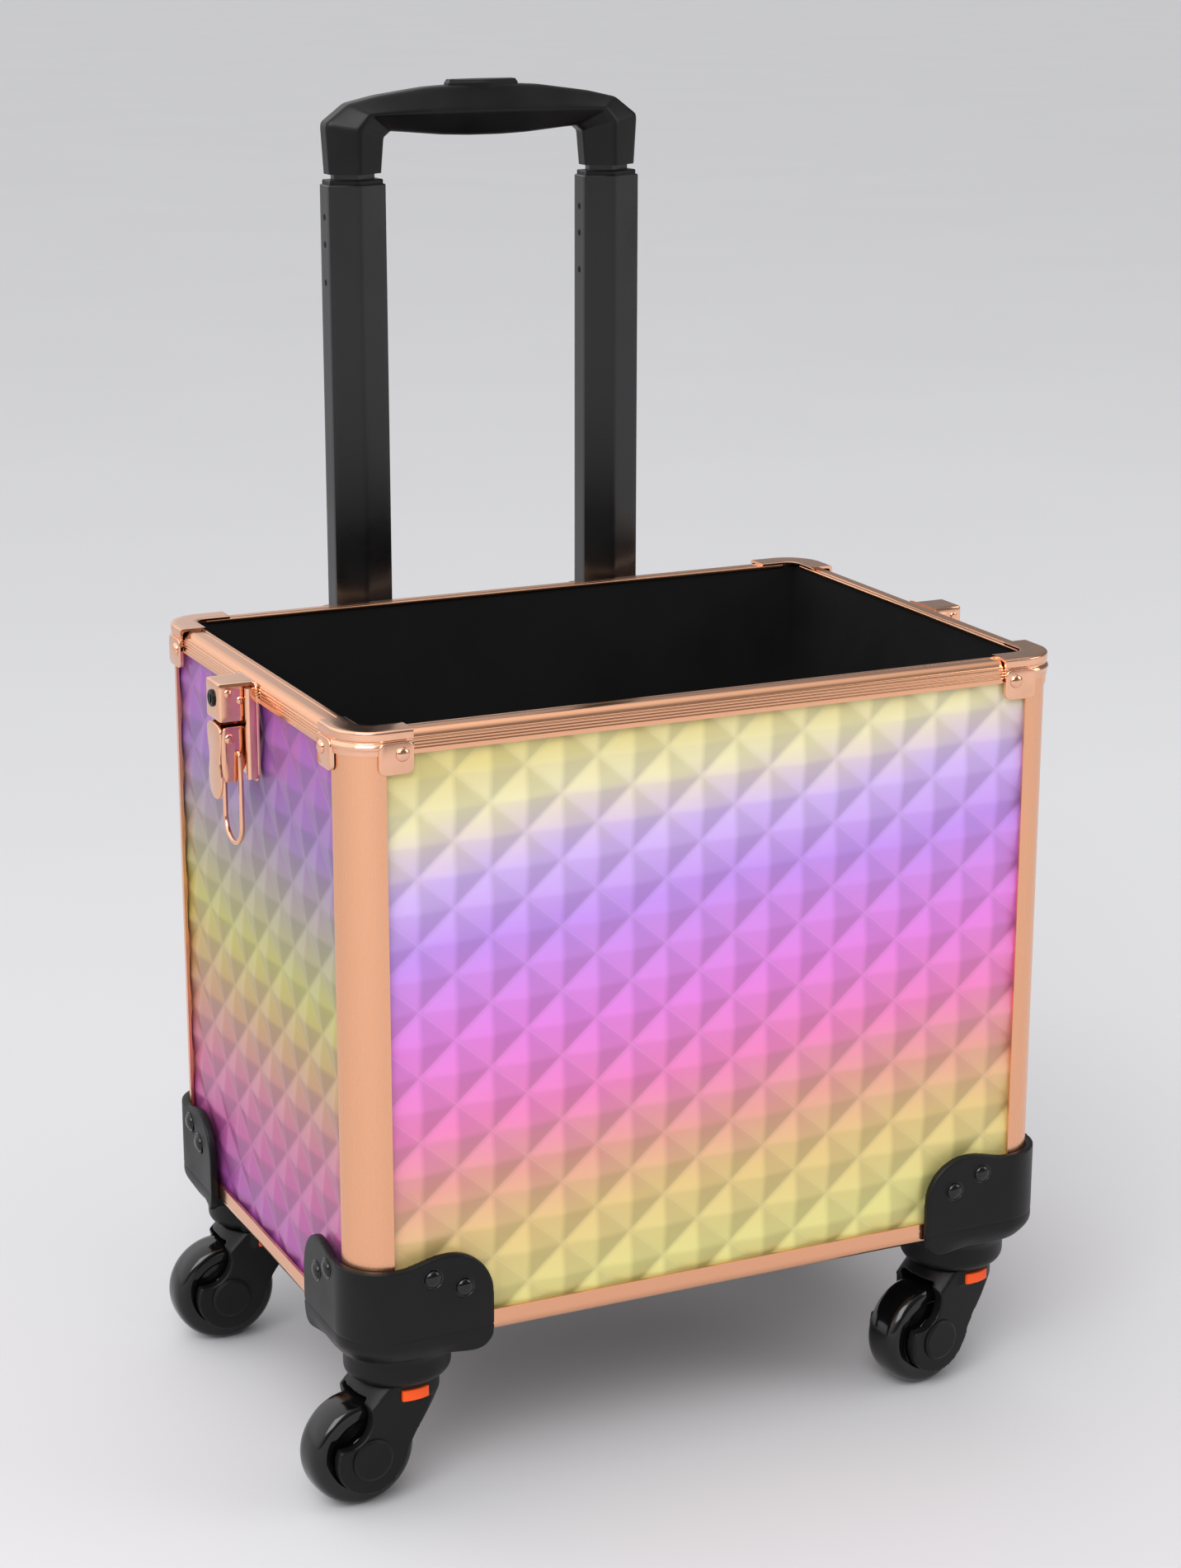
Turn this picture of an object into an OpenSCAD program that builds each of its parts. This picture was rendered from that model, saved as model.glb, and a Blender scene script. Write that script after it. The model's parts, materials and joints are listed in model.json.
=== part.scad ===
// Open-topped base section of a rolling makeup train case: an aluminium frame with
// embossed diamond panels, side draw latches, a telescoping handle and four casters.

/* [Case] */
// Width across the side rails
case_w = 352; // [300:1:420]
// Depth from the front rails to the back rails
case_d = 246; // [210:1:320]
// Height from the underside of the bottom rails to the rim
case_h = 283; // [230:1:360]
// Outer radius of the corner columns
column_r = 18; // [15:1:22]
// Thickness of the frame's extruded metal
metal_t = 1.4; // [1:0.1:1.8]
// Height of the outer face of the top rails
top_rail_h = 10; // [9:0.5:14]
// Height of the outer face of the bottom rails
bottom_rail_h = 11; // [9:0.5:16]
// Radius of the rails' outer long edge
rail_round_r = 5; // [3:0.5:6]
// Thickness of the floor board
base_board_t = 6; // [4:0.5:9]
// Thickness of the lining
lining_t = 1.5; // [1:0.1:2.5]

/* [Embossed panels] */
// Thickness of a panel behind its embossing
board_t = 4; // [3:0.5:6]
// Height of the diamond pyramids
relief_h = 1.8; // [1:0.1:2.4]
// Half the width of a diamond
cell_w = 17; // [12:0.5:24]
// Half the height of a diamond
cell_h = 15.1; // [11:0.1:22]
// Distance that a panel reaches under the columns and rails
panel_tuck = 3; // [2:0.5:4]

/* [Corner fittings] */
// Thickness of the pressed top corner caps
cap_t = 1.2; // [0.8:0.1:1.6]
// Length of a top corner cap along each side
cap_leg = 30; // [27:1:40]
// Height of a cap's riveted tab
cap_tab_h = 18; // [16:1:24]
// Diameter of the cap rivets' heads
cap_rivet_d = 6; // [4.5:0.5:7]
// Wall of the plastic corner brackets
bracket_t = 4; // [3:0.5:5]
// Length of a bracket lobe along each side
lobe_leg = 64; // [60:1:80]
// Height of a bracket lobe above the case's underside
lobe_h = 43.5; // [41:0.5:60]
// Diameter of the bracket rivets' heads
lobe_rivet_d = 8; // [6:0.5:9]

/* [Casters] */
// Height of the case's underside above the floor
caster_h = 82.5; // [81:0.5:92]
// Distance of a swivel axis from both outer faces
swivel_inset = 29.5; // [29:0.5:34]
// Diameter of a wheel
wheel_d = 52; // [46:1:54]
// Width of a wheel
wheel_w = 20; // [16:1:22]
// Distance of the wheel's axle behind the swivel axis
trail = 21; // [16:0.5:24]
// Diameter of the bracket's round collar
collar_d = 50; // [46:1:52]
// Diameter of the fork's crown
crown_d = 39; // [37:0.5:41]
// Diameter of the kingpin
kingpin_d = 10; // [8:0.5:12]
// Diameter of the wheel's axle
axle_d = 6; // [5:0.5:8]
// Turn of the front left fork
turn_fl = 6; // [-180:1:180]
// Turn of the front right fork
turn_fr = 12; // [-180:1:180]
// Turn of the back left fork
turn_bl = 0; // [-180:1:180]
// Turn of the back right fork
turn_br = 6; // [-180:1:180]

/* [Telescoping handle] */
// Distance between the two tube pairs' axes
tube_spacing = 136; // [120:1:170]
// Width of a middle tube
tube_w = 30; // [28:0.5:34]
// Depth of a middle tube across its ridges
tube_d = 22; // [20:0.5:26]
// Height of a tube's narrow side face
tube_side = 8; // [6:0.5:10]
// Wall of the handle tubes
tube_wall = 1.6; // [1.2:0.1:2]
// Length of a middle tube
tube_len = 262; // [220:1:275]
// Reach of the drawn middle tubes above the case's rim
tube_reach = 197; // [150:1:205]
// Width of an inner tube
inner_w = 21; // [19:0.5:22]
// Depth of an inner tube across its ridges
inner_d = 14.5; // [13:0.5:15.5]
// Length of an inner tube
inner_len = 235; // [180:1:245]
// Wall of the fixed guide sleeves
sleeve_wall = 2.5; // [2:0.1:3.5]
// Diameter of the height stop holes in the tubes
stop_hole_d = 4; // [3:0.5:5]

/* [Grip] */
// Depth of the grip across its ridges
grip_d = 24; // [21:0.5:28]
// Height of the grip's narrow outer and inner faces
grip_side = 9; // [7:0.5:11]
// Height of the grip from the leg ends to the top of its arch
grip_h = 46; // [42:1:56]
// Width of a grip leg at its lower end
grip_leg_w = 27; // [25:0.5:30]
// Width of the push button
button_w = 35; // [28:1:44]
// Depth of the push button
button_d = 12; // [9:0.5:14]
// Travel of the push button
button_travel = 3; // [2:0.5:4]

/* [Latches] */
// Width of the lock box and the lever
latch_w = 18; // [16:0.5:22]
// Height of a latch's base plate
latch_h = 46; // [44:1:56]
// Distance that the lock box stands out from the side rails
latch_reach = 17; // [15:0.5:20]
// Height of the lock box
lock_box_h = 18; // [16:0.5:20]
// Thickness of the latch's sheet metal
latch_t = 1.2; // [1:0.1:1.5]
// Diameter of the key cylinder
key_d = 8; // [6:0.5:10]
// Diameter of the bail's wire
bail_wire_d = 2.4; // [2:0.1:3]
// Length of the bail below its pivot
bail_len = 44; // [36:1:52]

/* [Hidden] */
$fn = 48;

// Colours
rose_gold = "#d9976f";
polished_rose = "#e3a583";
satin_black = "#242424";
gloss_black = "#17181a";
release_orange = "#ef5a22";
board_brown = "#3a3430";
lining_black = "#121214";
front_tint = "#dcc9a6";
side_tint = "#b07ab0";

// Clearances
fit = 0.3;          // free gap between pieces
running = 0.05;     // radial gap of a shaft in its bore
slide_gap = 0.4;    // gap round a sliding tube
cut = 1;            // overshoot of a cutting tool

// The frame's layers, counted inward from the outer faces
panel_face = metal_t + fit;
panel_back = panel_face + relief_h + board_t;
inner_face = panel_back + fit;
lining_face = inner_face + metal_t;
rim_w = lining_face + lining_t + 1;
top_inner_h = top_rail_h + 3;
bottom_inner_h = metal_t + base_board_t + 6;
arm_end = column_r + 2;
groove_r = 0.35;
first_groove = 3.6;
groove_pitch = 1.4;
rim_groove = 2.5;

// The casters, with the case's underside at height 0
axle_drop = caster_h - wheel_d / 2;
collar_drop = 22.7;
bracket_base_t = 5;
lobe_dip = 4;
crown_drop = collar_drop + fit;
kingpin_len = 19;
arm_t = 5.5;
side_gap = 1;
tread_gap = 2;
fork_w = wheel_w + 2 * (side_gap + arm_t);
lobe_r = 17;
crown_h = 8;
release_w = 13;
release_h = 5;
release_travel = 2;
release_len = 4.5;
release_drop = crown_drop + 2.5;

// The handle, behind the back rails
inner_side = 5;
ridge_slope = atan((tube_d - tube_side) / tube_w);
sleeve_w = tube_w + 2 * (slide_gap + sleeve_wall);
sleeve_d = tube_d + 2 * (slide_gap + sleeve_wall) / cos(ridge_slope);
housing_front = 1.5;
housing_back = 2;
housing_cheek = 1.5;
housing_drop = 5;
plate_t = 4;
handle_y = case_d / 2 + housing_front + sleeve_d / 2;
tube_top = case_h + tube_reach;
collar_h = 3;
collar_plug = 12;
collar_step = 1.2;
neck_h = 3.5;
grip_z = tube_top + collar_h + neck_h;
bracket_front = bracket_t + lobe_rivet_d / 4;
case_y = (bracket_front + case_d / 2 - handle_y - sleeve_d / 2 - housing_back) / 2;

// The latches, with heights counted down from the rim
latch_top = 1;
lever_pivot = [latch_reach - 4.5, latch_top + lock_box_h + 7.5];
lever_top = lever_pivot[1] - 6.2;
lever_back = 4;
lever_round = 1.6;
bail_pivot = [lever_pivot[0] - 4, lever_pivot[1] + 7];
pin_d = 3;
pin_head_h = 0.9;
bail_gap = pin_head_h + fit;
tray_w = latch_w + 2 * (bail_gap + bail_wire_d + 0.5 + latch_t);
tab_len = 9;
ear_t = 1.4;
ear_r = 2.6;
key_drop = 8;
key_len = 8;

// Sides and corners: name, turn about the middle, half depth, length, pattern shift
SIDES = [["front", 0, case_d / 2, case_w, [-7.3, 246.4]],
         ["right", 90, case_w / 2, case_d, [9.7, 226.8]],
         ["back", 180, case_d / 2, case_w, [7.3, 246.4]],
         ["left", 270, case_w / 2, case_d, [9.7, 226.8]]];
CORNERS = [["front_left", -1, -1, turn_fl], ["front_right", 1, -1, turn_fr],
           ["back_left", -1, 1, turn_bl], ["back_right", 1, 1, turn_br]];

// ---------- placing ----------

// Stands the case on its casters with the middle of its footprint at the origin
module stand() { translate([0, case_y, caster_h]) children(); }

// Local frame of a side: x along it, y inward from its outer face
module on_side(side) { rotate([0, 0, side[1]]) translate([0, -side[2], 0]) children(); }

// Local frame of a corner: x and y inward along both sides
module at_corner(corner) {
    translate([corner[1] * case_w / 2, corner[2] * case_d / 2, 0])
        mirror([corner[1] > 0 ? 1 : 0, 0, 0])
            mirror([0, corner[2] > 0 ? 1 : 0, 0])
                children();
}

// Local frame of a caster: z on the swivel axis, the wheel trailing towards -x
module at_caster(corner) {
    translate([corner[1] * (case_w / 2 - swivel_inset), corner[2] * (case_d / 2 - swivel_inset), 0])
        rotate([0, 0, corner[3]]) children();
}

// Local frame of a latch: x out of the side, z down from the rim is negative
module at_latch(right) {
    translate([(right ? 1 : -1) * case_w / 2, 0, case_h])
        rotate([0, 0, right ? 0 : 180]) children();
}

// Extrudes a section drawn in depth and height along a side's length
module along_side(len) {
    translate([-len / 2, 0, 0]) rotate([90, 0, 90]) linear_extrude(len) children();
}

// Copies for the left and the right tube pair
module both_tubes() {
    for (sx = [-1, 1]) translate([sx * tube_spacing / 2, handle_y, 0]) children();
}

// ---------- shared shapes ----------

// Button head of a rivet, its flat at z = 0
module dome(d, h) {
    ball = (d * d / 4 + h * h) / (2 * h);
    intersection() {
        translate([0, 0, h - ball]) sphere(ball);
        cylinder(h = h + cut, d = d + cut);
    }
}

// Rivet along z, with its shank going down through a hole
module rivet(head_d, head_h, shank_d, shank_len) {
    dome(head_d, head_h);
    translate([0, 0, -shank_len]) cylinder(h = shank_len, d = shank_d);
}

// Flattened hexagon with a ridge at the front and the back
function hexagon(w, d, side) =
    [[w / 2, -side / 2], [w / 2, side / 2], [0, d / 2],
     [-w / 2, side / 2], [-w / 2, -side / 2], [0, -d / 2]];

// The same hexagon moved outward by t on every face
function grown(w, d, side, t) =
    let (slope = atan((d - side) / w))
    hexagon(w + 2 * t, d + 2 * t / cos(slope), side + 2 * t * (1 / cos(slope) - tan(slope)));

// Rounded rectangle from a corner point, with one radius on the lower edge's ends
module tab_outline(w, h, r) {
    translate([-w / 2, -h + r]) square([w, h - r]);
    translate([-w / 2 + r, -h]) square([w - 2 * r, h]);
    for (s = [-1, 1]) translate([s * (w / 2 - r), -h + r]) circle(r);
}

// ---------- embossed panels ----------

// Height of the pyramids, 0 in the valleys and 1 at a peak, at u, v in half diamonds
function to_peak(x) = abs(x - 2 * floor(x / 2) - 1);
function pyramid(u, v) = 1 - max(to_peak(u + v), to_peak(u - v));

// Grid lines from lo to hi, on every lattice line and on both ends
function lattice(lo, hi, pitch, shift) =
    concat([lo],
           [for (k = [ceil((lo + 0.5 - shift) / pitch):floor((hi - 0.5 - shift) / pitch)])
               shift + k * pitch],
           [hi]);

// Panel with its embossed face towards -y, its back flat
module embossed(len, z_lo, z_hi, shift) {
    us = lattice(-len / 2, len / 2, cell_w, shift[0]);
    vs = lattice(z_lo, z_hi, cell_h, shift[1]);
    nu = len(us);
    nv = len(vs);
    face = [for (v = vs) for (u = us)
        [u, panel_face + relief_h * (1 - pyramid((u - shift[0]) / cell_w, (v - shift[1]) / cell_h)), v]];
    edge = concat([for (i = [0:nu - 1]) i], [for (j = [1:nv - 1]) j * nu + nu - 1],
                  [for (i = [nu - 2:-1:0]) (nv - 1) * nu + i], [for (j = [nv - 2:-1:1]) j * nu]);
    rear = [for (k = edge) [face[k][0], panel_back, face[k][2]]];
    n = nu * nv;
    m = len(edge);
    even = function (i, j)
        (floor(((us[i] + us[i + 1]) / 2 - shift[0]) / cell_w)
         + floor(((vs[j] + vs[j + 1]) / 2 - shift[1]) / cell_h)) % 2 == 0;
    cells = [for (j = [0:nv - 2]) for (i = [0:nu - 2])
        let (a = j * nu + i, b = a + 1, c = b + nu, d = a + nu)
        each even(i, j) ? [[a, c, b], [a, d, c]] : [[a, d, b], [b, d, c]]];
    walls = [for (k = [0:m - 1]) let (l = (k + 1) % m) [edge[k], edge[l], n + l, n + k]];
    middle = [[0, panel_back, (z_lo + z_hi) / 2]];
    flat = [for (k = [0:m - 1]) [n + k, n + (k + 1) % m, n + m]];
    polyhedron(concat(face, rear, middle), concat(cells, walls, flat));
}

module panel(side) {
    edge_in = column_r - panel_tuck;
    color(side[1] % 180 == 0 ? front_tint : side_tint) stand() on_side(side)
        embossed(side[3] - 2 * edge_in, bottom_rail_h - panel_tuck,
                 case_h - top_rail_h + panel_tuck, side[4]);
}

// ---------- frame ----------

// The rail is an inverted channel with a rounded, grooved shoulder and a rim that laps the lining
module top_rail_section() {
    r = rail_round_r;
    wall_z = case_h - top_inner_h;
    difference() {
        union() {
            translate([r, wall_z]) square([rim_w - r, top_inner_h]);
            translate([0, case_h - top_rail_h]) square([r, top_rail_h - r]);
            translate([r, case_h - r]) circle(r);
        }
        translate([metal_t, wall_z - cut]) square([inner_face - metal_t, top_inner_h + cut - r]);
        translate([r, wall_z - cut]) square([inner_face - r, top_inner_h + cut - metal_t]);
        translate([r, case_h - r]) circle(r - metal_t);
        translate([lining_face, wall_z - cut]) square([rim_w, top_inner_h + cut - metal_t]);
        for (drop = [first_groove:groove_pitch:top_rail_h - groove_pitch])
            translate([drop < r ? r - sqrt(r * r - (r - drop) * (r - drop)) : 0, case_h - drop])
                circle(groove_r, $fn = 16);
        translate([rim_w - rim_groove, case_h]) circle(groove_r, $fn = 16);
    }
}

module top_rail(side) {
    color(rose_gold) stand() on_side(side)
        along_side(side[3] - 2 * column_r) top_rail_section();
}

module bottom_rail_section() {
    r = rail_round_r;
    difference() {
        union() {
            square([inner_face + metal_t, bottom_inner_h]);
            square([column_r, metal_t]);
        }
        translate([metal_t, r]) square([inner_face - metal_t, bottom_inner_h]);
        translate([r, metal_t]) square([inner_face - r, bottom_inner_h]);
        translate([r, r]) circle(r - metal_t);
        translate([-cut, bottom_rail_h]) square([cut + metal_t, bottom_inner_h]);
        difference() {
            translate([-cut, -cut]) square([r + cut, r + cut]);
            translate([r, r]) circle(r);
        }
    }
}

module bottom_rail(side) {
    color(rose_gold) stand() on_side(side)
        along_side(side[3] - 2 * column_r) bottom_rail_section();
}

// Quarter-round column with a channel for each panel's edge
module column_section() {
    web = column_r - panel_tuck - fit - metal_t;
    difference() {
        intersection() {
            translate([column_r, column_r]) circle(column_r);
            square(column_r);
        }
        translate([column_r, column_r]) circle(column_r - metal_t);
    }
    difference() {
        translate([inner_face, inner_face]) square(arm_end - inner_face);
        translate([lining_face, lining_face]) square(arm_end);
    }
    intersection() {
        translate([column_r, column_r]) circle(column_r - metal_t / 2);
        union() {
            translate([web, 0]) square([metal_t, inner_face + metal_t / 2]);
            translate([0, web]) square([inner_face + metal_t / 2, metal_t]);
        }
    }
}

// The arms stop below the top rails' and above the bottom rails' inner walls
module column(corner) {
    color(rose_gold) stand() at_corner(corner) difference() {
        linear_extrude(case_h) column_section();
        for (z = [-cut, case_h - top_inner_h]) {
            h = z < 0 ? cut + bottom_inner_h : top_inner_h + cut;
            translate([column_r, 0, z]) cube([column_r, column_r, h]);
            translate([0, column_r, z]) cube([column_r, column_r, h]);
        }
    }
}

module base_board() {
    inset = lining_face;
    color(board_brown) stand() translate([-case_w / 2 + inset, -case_d / 2 + inset, metal_t])
        cube([case_w - 2 * inset, case_d - 2 * inset, base_board_t]);
}

module lining_tray() {
    z = metal_t + base_board_t;
    h = case_h - metal_t - z;
    w = case_w - 2 * lining_face;
    d = case_d - 2 * lining_face;
    color(lining_black) stand() translate([-w / 2, -d / 2, z]) difference() {
        cube([w, d, h]);
        translate([lining_t, lining_t, lining_t])
            cube([w - 2 * lining_t, d - 2 * lining_t, h]);
    }
}

// ---------- top corner caps ----------

cap_tab_w = cap_leg - 14;
cap_rivet_s = cap_leg - cap_tab_w / 3;

// Outline of a corner, grown by t, reaching leg along both sides
module corner_outline(leg, t) {
    intersection() {
        translate([column_r, column_r]) circle(column_r + t);
        translate([-t, -t]) square(column_r + t);
    }
    translate([column_r, -t]) square([leg - column_r, leg + t]);
    translate([-t, column_r]) square([leg + t, leg - column_r]);
}

// Turns a shape drawn flat onto both faces of a corner, its top edge at the rim
module on_cap_tabs(s, z) {
    for (flip = [0, 1]) mirror([flip, -flip, 0])
        translate([s, 0, case_h - z]) rotate([90, 0, 0]) children();
}

module top_cap(corner) {
    skirt_h = top_rail_h - 0.5;
    rib_h = 1.6;
    lip_r = 5;
    color(polished_rose) stand() at_corner(corner) difference() {
        union() {
            translate([0, 0, case_h]) linear_extrude(cap_t) difference() {
                corner_outline(cap_leg, cap_t);
                translate([rim_w, rim_w]) difference() {
                    square(cap_leg);
                    difference() {
                        square(lip_r);
                        translate([lip_r, lip_r]) circle(lip_r);
                    }
                }
            }
            translate([0, 0, case_h - skirt_h]) linear_extrude(skirt_h) difference() {
                corner_outline(cap_leg, cap_t);
                corner_outline(cap_leg + cut, 0);
            }
            // pressed rib round the corner
            translate([column_r, column_r, case_h - skirt_h / 2]) intersection() {
                difference() {
                    cylinder(h = rib_h, r = column_r + cap_t + 0.6);
                    translate([0, 0, -cut]) cylinder(h = 2 * cut + rib_h, r = column_r + cap_t / 2);
                }
                translate([-2 * column_r, -2 * column_r, -cut])
                    cube([2 * column_r, 2 * column_r, 2 * cut + rib_h]);
            }
            on_cap_tabs(cap_leg - cap_tab_w / 2, 0) linear_extrude(cap_t) difference() {
                tab_outline(cap_tab_w, cap_tab_h, 4);
                translate([-cap_tab_w, cut - skirt_h]) square([2 * cap_tab_w, skirt_h]);
            }
        }
        on_cap_tabs(cap_rivet_s, cap_tab_h / 2)
            translate([0, 0, -cut]) cylinder(h = cap_t + 2 * cut, d = cap_rivet_d / 2);
    }
}

module cap_rivets() {
    color(polished_rose) stand() for (corner = CORNERS) at_corner(corner)
        on_cap_tabs(cap_rivet_s, cap_tab_h / 2)
            translate([0, 0, cap_t]) rivet(cap_rivet_d, cap_rivet_d / 4, cap_rivet_d / 2, cap_t);
}

// ---------- bottom corner brackets ----------

// One face of a bracket, in distance from the corner and height
module lobe_outline() {
    shoulder_r = 22;
    foot_r = 9;
    steps = 12;
    start = lobe_leg - shoulder_r;
    foot = -bracket_base_t;
    polygon(concat(
        [for (k = [0:steps])
            [column_r + (start - column_r) * k / steps, lobe_h - lobe_dip * (1 + cos(180 * k / steps)) / 2]],
        [[start, foot], [column_r, foot]]));
    translate([start, lobe_h - shoulder_r]) circle(shoulder_r);
    translate([start, foot + foot_r]) square([shoulder_r, lobe_h - shoulder_r - foot - foot_r]);
    translate([start, foot]) square([shoulder_r - foot_r, foot_r]);
    translate([lobe_leg - foot_r, foot + foot_r]) circle(foot_r);
}

// Places things on both faces of a corner, z out of the face and y up
module on_lobes(s, z) {
    for (flip = [0, 1]) mirror([flip, -flip, 0])
        translate([s, -bracket_t, z]) rotate([90, 0, 0]) children();
}

// Rivet places, counted back from a lobe's far upper corner
LOBE_RIVETS = [[30.5, 12.5], [15.5, 19]];

// Section of the collar that carries the kingpin, flared into the base above it
module collar_section() {
    r = collar_d / 2;
    flare = 7;
    round_r = 5.5;
    translate([0, -collar_drop]) square([r - round_r, collar_drop]);
    translate([0, -collar_drop + round_r]) square([r, collar_drop - round_r]);
    translate([r - round_r, -collar_drop + round_r]) circle(round_r);
    difference() {
        translate([r - cut, -bracket_base_t - flare]) square([flare + cut, flare]);
        translate([r + flare, -bracket_base_t - flare]) circle(flare);
    }
}

module bracket(corner) {
    plate_leg = lobe_leg - 9;       // the floor of the cup ends before its lobes do
    bend_r = 14;
    color(satin_black) stand() at_corner(corner) difference() {
        union() {
            for (flip = [0, 1]) mirror([flip, -flip, 0])
                rotate([90, 0, 0]) linear_extrude(bracket_t) lobe_outline();
            translate([0, 0, -bracket_base_t])
                linear_extrude(bracket_base_t + lobe_h - lobe_dip) difference() {
                    intersection() {
                        translate([column_r, column_r]) circle(column_r + bracket_t);
                        translate([-bracket_t, -bracket_t]) square(column_r + bracket_t);
                    }
                    translate([column_r, column_r]) circle(column_r);
                }
            translate([0, 0, -bracket_base_t]) linear_extrude(bracket_base_t) difference() {
                corner_outline(plate_leg, bracket_t);
                difference() {
                    translate([plate_leg - bend_r, plate_leg - bend_r]) square(bend_r + cut);
                    translate([plate_leg - bend_r, plate_leg - bend_r]) circle(bend_r);
                }
            }
            translate([swivel_inset, swivel_inset, 0]) rotate_extrude() collar_section();
        }
        translate([swivel_inset, swivel_inset, -collar_drop - cut])
            cylinder(h = cut + kingpin_len, r = kingpin_d / 2 + running);
        for (place = LOBE_RIVETS) on_lobes(lobe_leg - place[0], lobe_h - place[1])
            translate([0, 0, -bracket_t - cut]) cylinder(h = bracket_t + 2 * cut, d = lobe_rivet_d / 2);
    }
}

module bracket_rivets() {
    color(satin_black) stand() for (corner = CORNERS) at_corner(corner)
        for (place = LOBE_RIVETS) on_lobes(lobe_leg - place[0], lobe_h - place[1])
            rivet(lobe_rivet_d, bracket_front - bracket_t, lobe_rivet_d / 2, bracket_t);
}

// ---------- casters ----------

// Turns a shape drawn round z onto the wheel's axle
module on_axle() {
    translate([-trail, 0, -axle_drop]) rotate([90, 0, 0]) children();
}

module release_block(grow, depth) {
    translate([-release_w / 2 - grow, -crown_d / 2 - cut, -release_drop - release_h - grow])
        cube([release_w + 2 * grow, cut + depth + grow, release_h + 2 * grow]);
}

// The two arms, one slab before the wheel's slot is cut, hollowed in front of the wheel and
// behind the crown; each hollow is a cylinder placed from the crown's side or from the axle
module fork_arms() {
    front_r = 41;
    front_ahead = 17;
    front_below = 13;
    back_r = 12.5;
    back_behind = 12;
    back_above = 19.5;
    difference() {
        hull() {
            intersection() {
                translate([0, 0, -crown_drop - crown_h]) cylinder(h = crown_h, d = crown_d);
                cube([2 * crown_d, fork_w, 4 * crown_drop], center = true);
            }
            on_axle() cylinder(h = fork_w, r = lobe_r, center = true);
        }
        translate([crown_d / 2 + front_ahead, 0, -axle_drop - front_below]) rotate([90, 0, 0])
            cylinder(h = 2 * fork_w, r = front_r, center = true, $fn = 160);
        translate([-trail - back_behind, 0, -axle_drop + back_above]) rotate([90, 0, 0])
            cylinder(h = 2 * fork_w, r = back_r, center = true);
    }
}

// Hooded fork with its kingpin
module fork(corner) {
    color(satin_black) stand() at_caster(corner) difference() {
        union() {
            fork_arms();
            translate([0, 0, -crown_drop - crown_h]) cylinder(h = crown_h, d = crown_d);
            translate([0, 0, -crown_drop - cut]) cylinder(h = cut + kingpin_len, d = kingpin_d);
        }
        on_axle() cylinder(h = wheel_w + 2 * side_gap, r = wheel_d / 2 + tread_gap, center = true);
        on_axle() cylinder(h = fork_w + 2 * cut, r = axle_d / 2 + running, center = true);
        release_block(fit, release_len + release_travel);
    }
}

// Axle with a flat, bevelled hub cap at each end
module axle(corner) {
    cap_r = 10;
    bevel = 0.7;
    color(satin_black) stand() at_caster(corner) on_axle() {
        cylinder(h = fork_w, d = axle_d, center = true);
        for (flip = [0, 1]) mirror([0, 0, flip]) translate([0, 0, fork_w / 2]) {
            cylinder(h = bevel, r = cap_r);
            translate([0, 0, bevel]) cylinder(h = bevel, r1 = cap_r, r2 = cap_r - 2 * bevel);
        }
    }
}

module wheel_section() {
    tread_r = 6;
    hub_r = 9;
    recess = 2.5;
    tread_t = 7;
    h = wheel_w / 2;
    r = wheel_d / 2;
    bore_r = axle_d / 2 + running;
    difference() {
        union() {
            translate([bore_r, -h]) square([r - tread_r - bore_r, 2 * h]);
            translate([bore_r, -h + tread_r]) square([r - bore_r, 2 * (h - tread_r)]);
            for (s = [-1, 1]) translate([r - tread_r, s * (h - tread_r)]) circle(tread_r);
        }
        for (s = [-1, 1]) translate([hub_r, s * h - recess]) square([r - tread_t - hub_r, 2 * recess]);
    }
}

module wheel(corner) {
    color(gloss_black) stand() at_caster(corner) on_axle() rotate_extrude() wheel_section();
}

// Push tab that frees the wheel, flush with the crown's round side
module release(corner) {
    color(release_orange) stand() at_caster(corner) intersection() {
        release_block(0, release_len);
        translate([0, 0, -2 * crown_drop]) cylinder(h = 2 * crown_drop, d = crown_d + 1);
    }
}

// ---------- telescoping handle ----------

STOP_HOLES = [14, 27, 46];

// Hollow bar whose outer and inner faces are the tube's faces moved outward
module hollow_bar(w, d, side, outer, inner, h) {
    linear_extrude(h) difference() {
        polygon(grown(w, d, side, outer));
        polygon(grown(w, d, side, inner));
    }
}

module handle_sleeves() {
    floor_t = 3;
    wall = slide_gap + sleeve_wall;
    color(satin_black) stand() both_tubes() {
        translate([0, 0, bottom_rail_h]) linear_extrude(floor_t)
            polygon(grown(tube_w, tube_d, tube_side, wall));
        translate([0, 0, bottom_rail_h + floor_t])
            hollow_bar(tube_w, tube_d, tube_side, wall, slide_gap,
                       case_h - housing_drop - bottom_rail_h - floor_t);
    }
}

// Two housings that hold the sleeves against the back rails
module sleeve_plates() {
    block_w = sleeve_w + 2 * housing_cheek;
    block_d = handle_y + sleeve_d / 2 + housing_back - case_d / 2;
    plate_h = 40;
    color(satin_black) stand() for (z = [metal_t, case_h - housing_drop - plate_h]) difference() {
        union() {
            translate([-tube_spacing / 2, case_d / 2, z]) cube([tube_spacing, plate_t, plate_h]);
            for (s = [-1, 1]) translate([s * tube_spacing / 2 - block_w / 2, case_d / 2, z])
                cube([block_w, block_d, plate_h]);
        }
        both_tubes() translate([0, 0, z < case_h / 2 ? bottom_rail_h : z - cut])
            linear_extrude(plate_h + 2 * cut)
                polygon(grown(tube_w, tube_d, tube_side, slide_gap + sleeve_wall));
    }
}

module middle_tubes() {
    color(satin_black) stand() both_tubes() translate([0, 0, tube_top - tube_len]) difference() {
        hollow_bar(tube_w, tube_d, tube_side, 0, -tube_wall, tube_len);
        for (drop = STOP_HOLES)
            translate([-tube_w / 2 - cut, 0, tube_len - drop])
                rotate([0, 90, 0]) cylinder(h = cut + 2 * tube_wall, d = stop_hole_d);
    }
}

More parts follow.
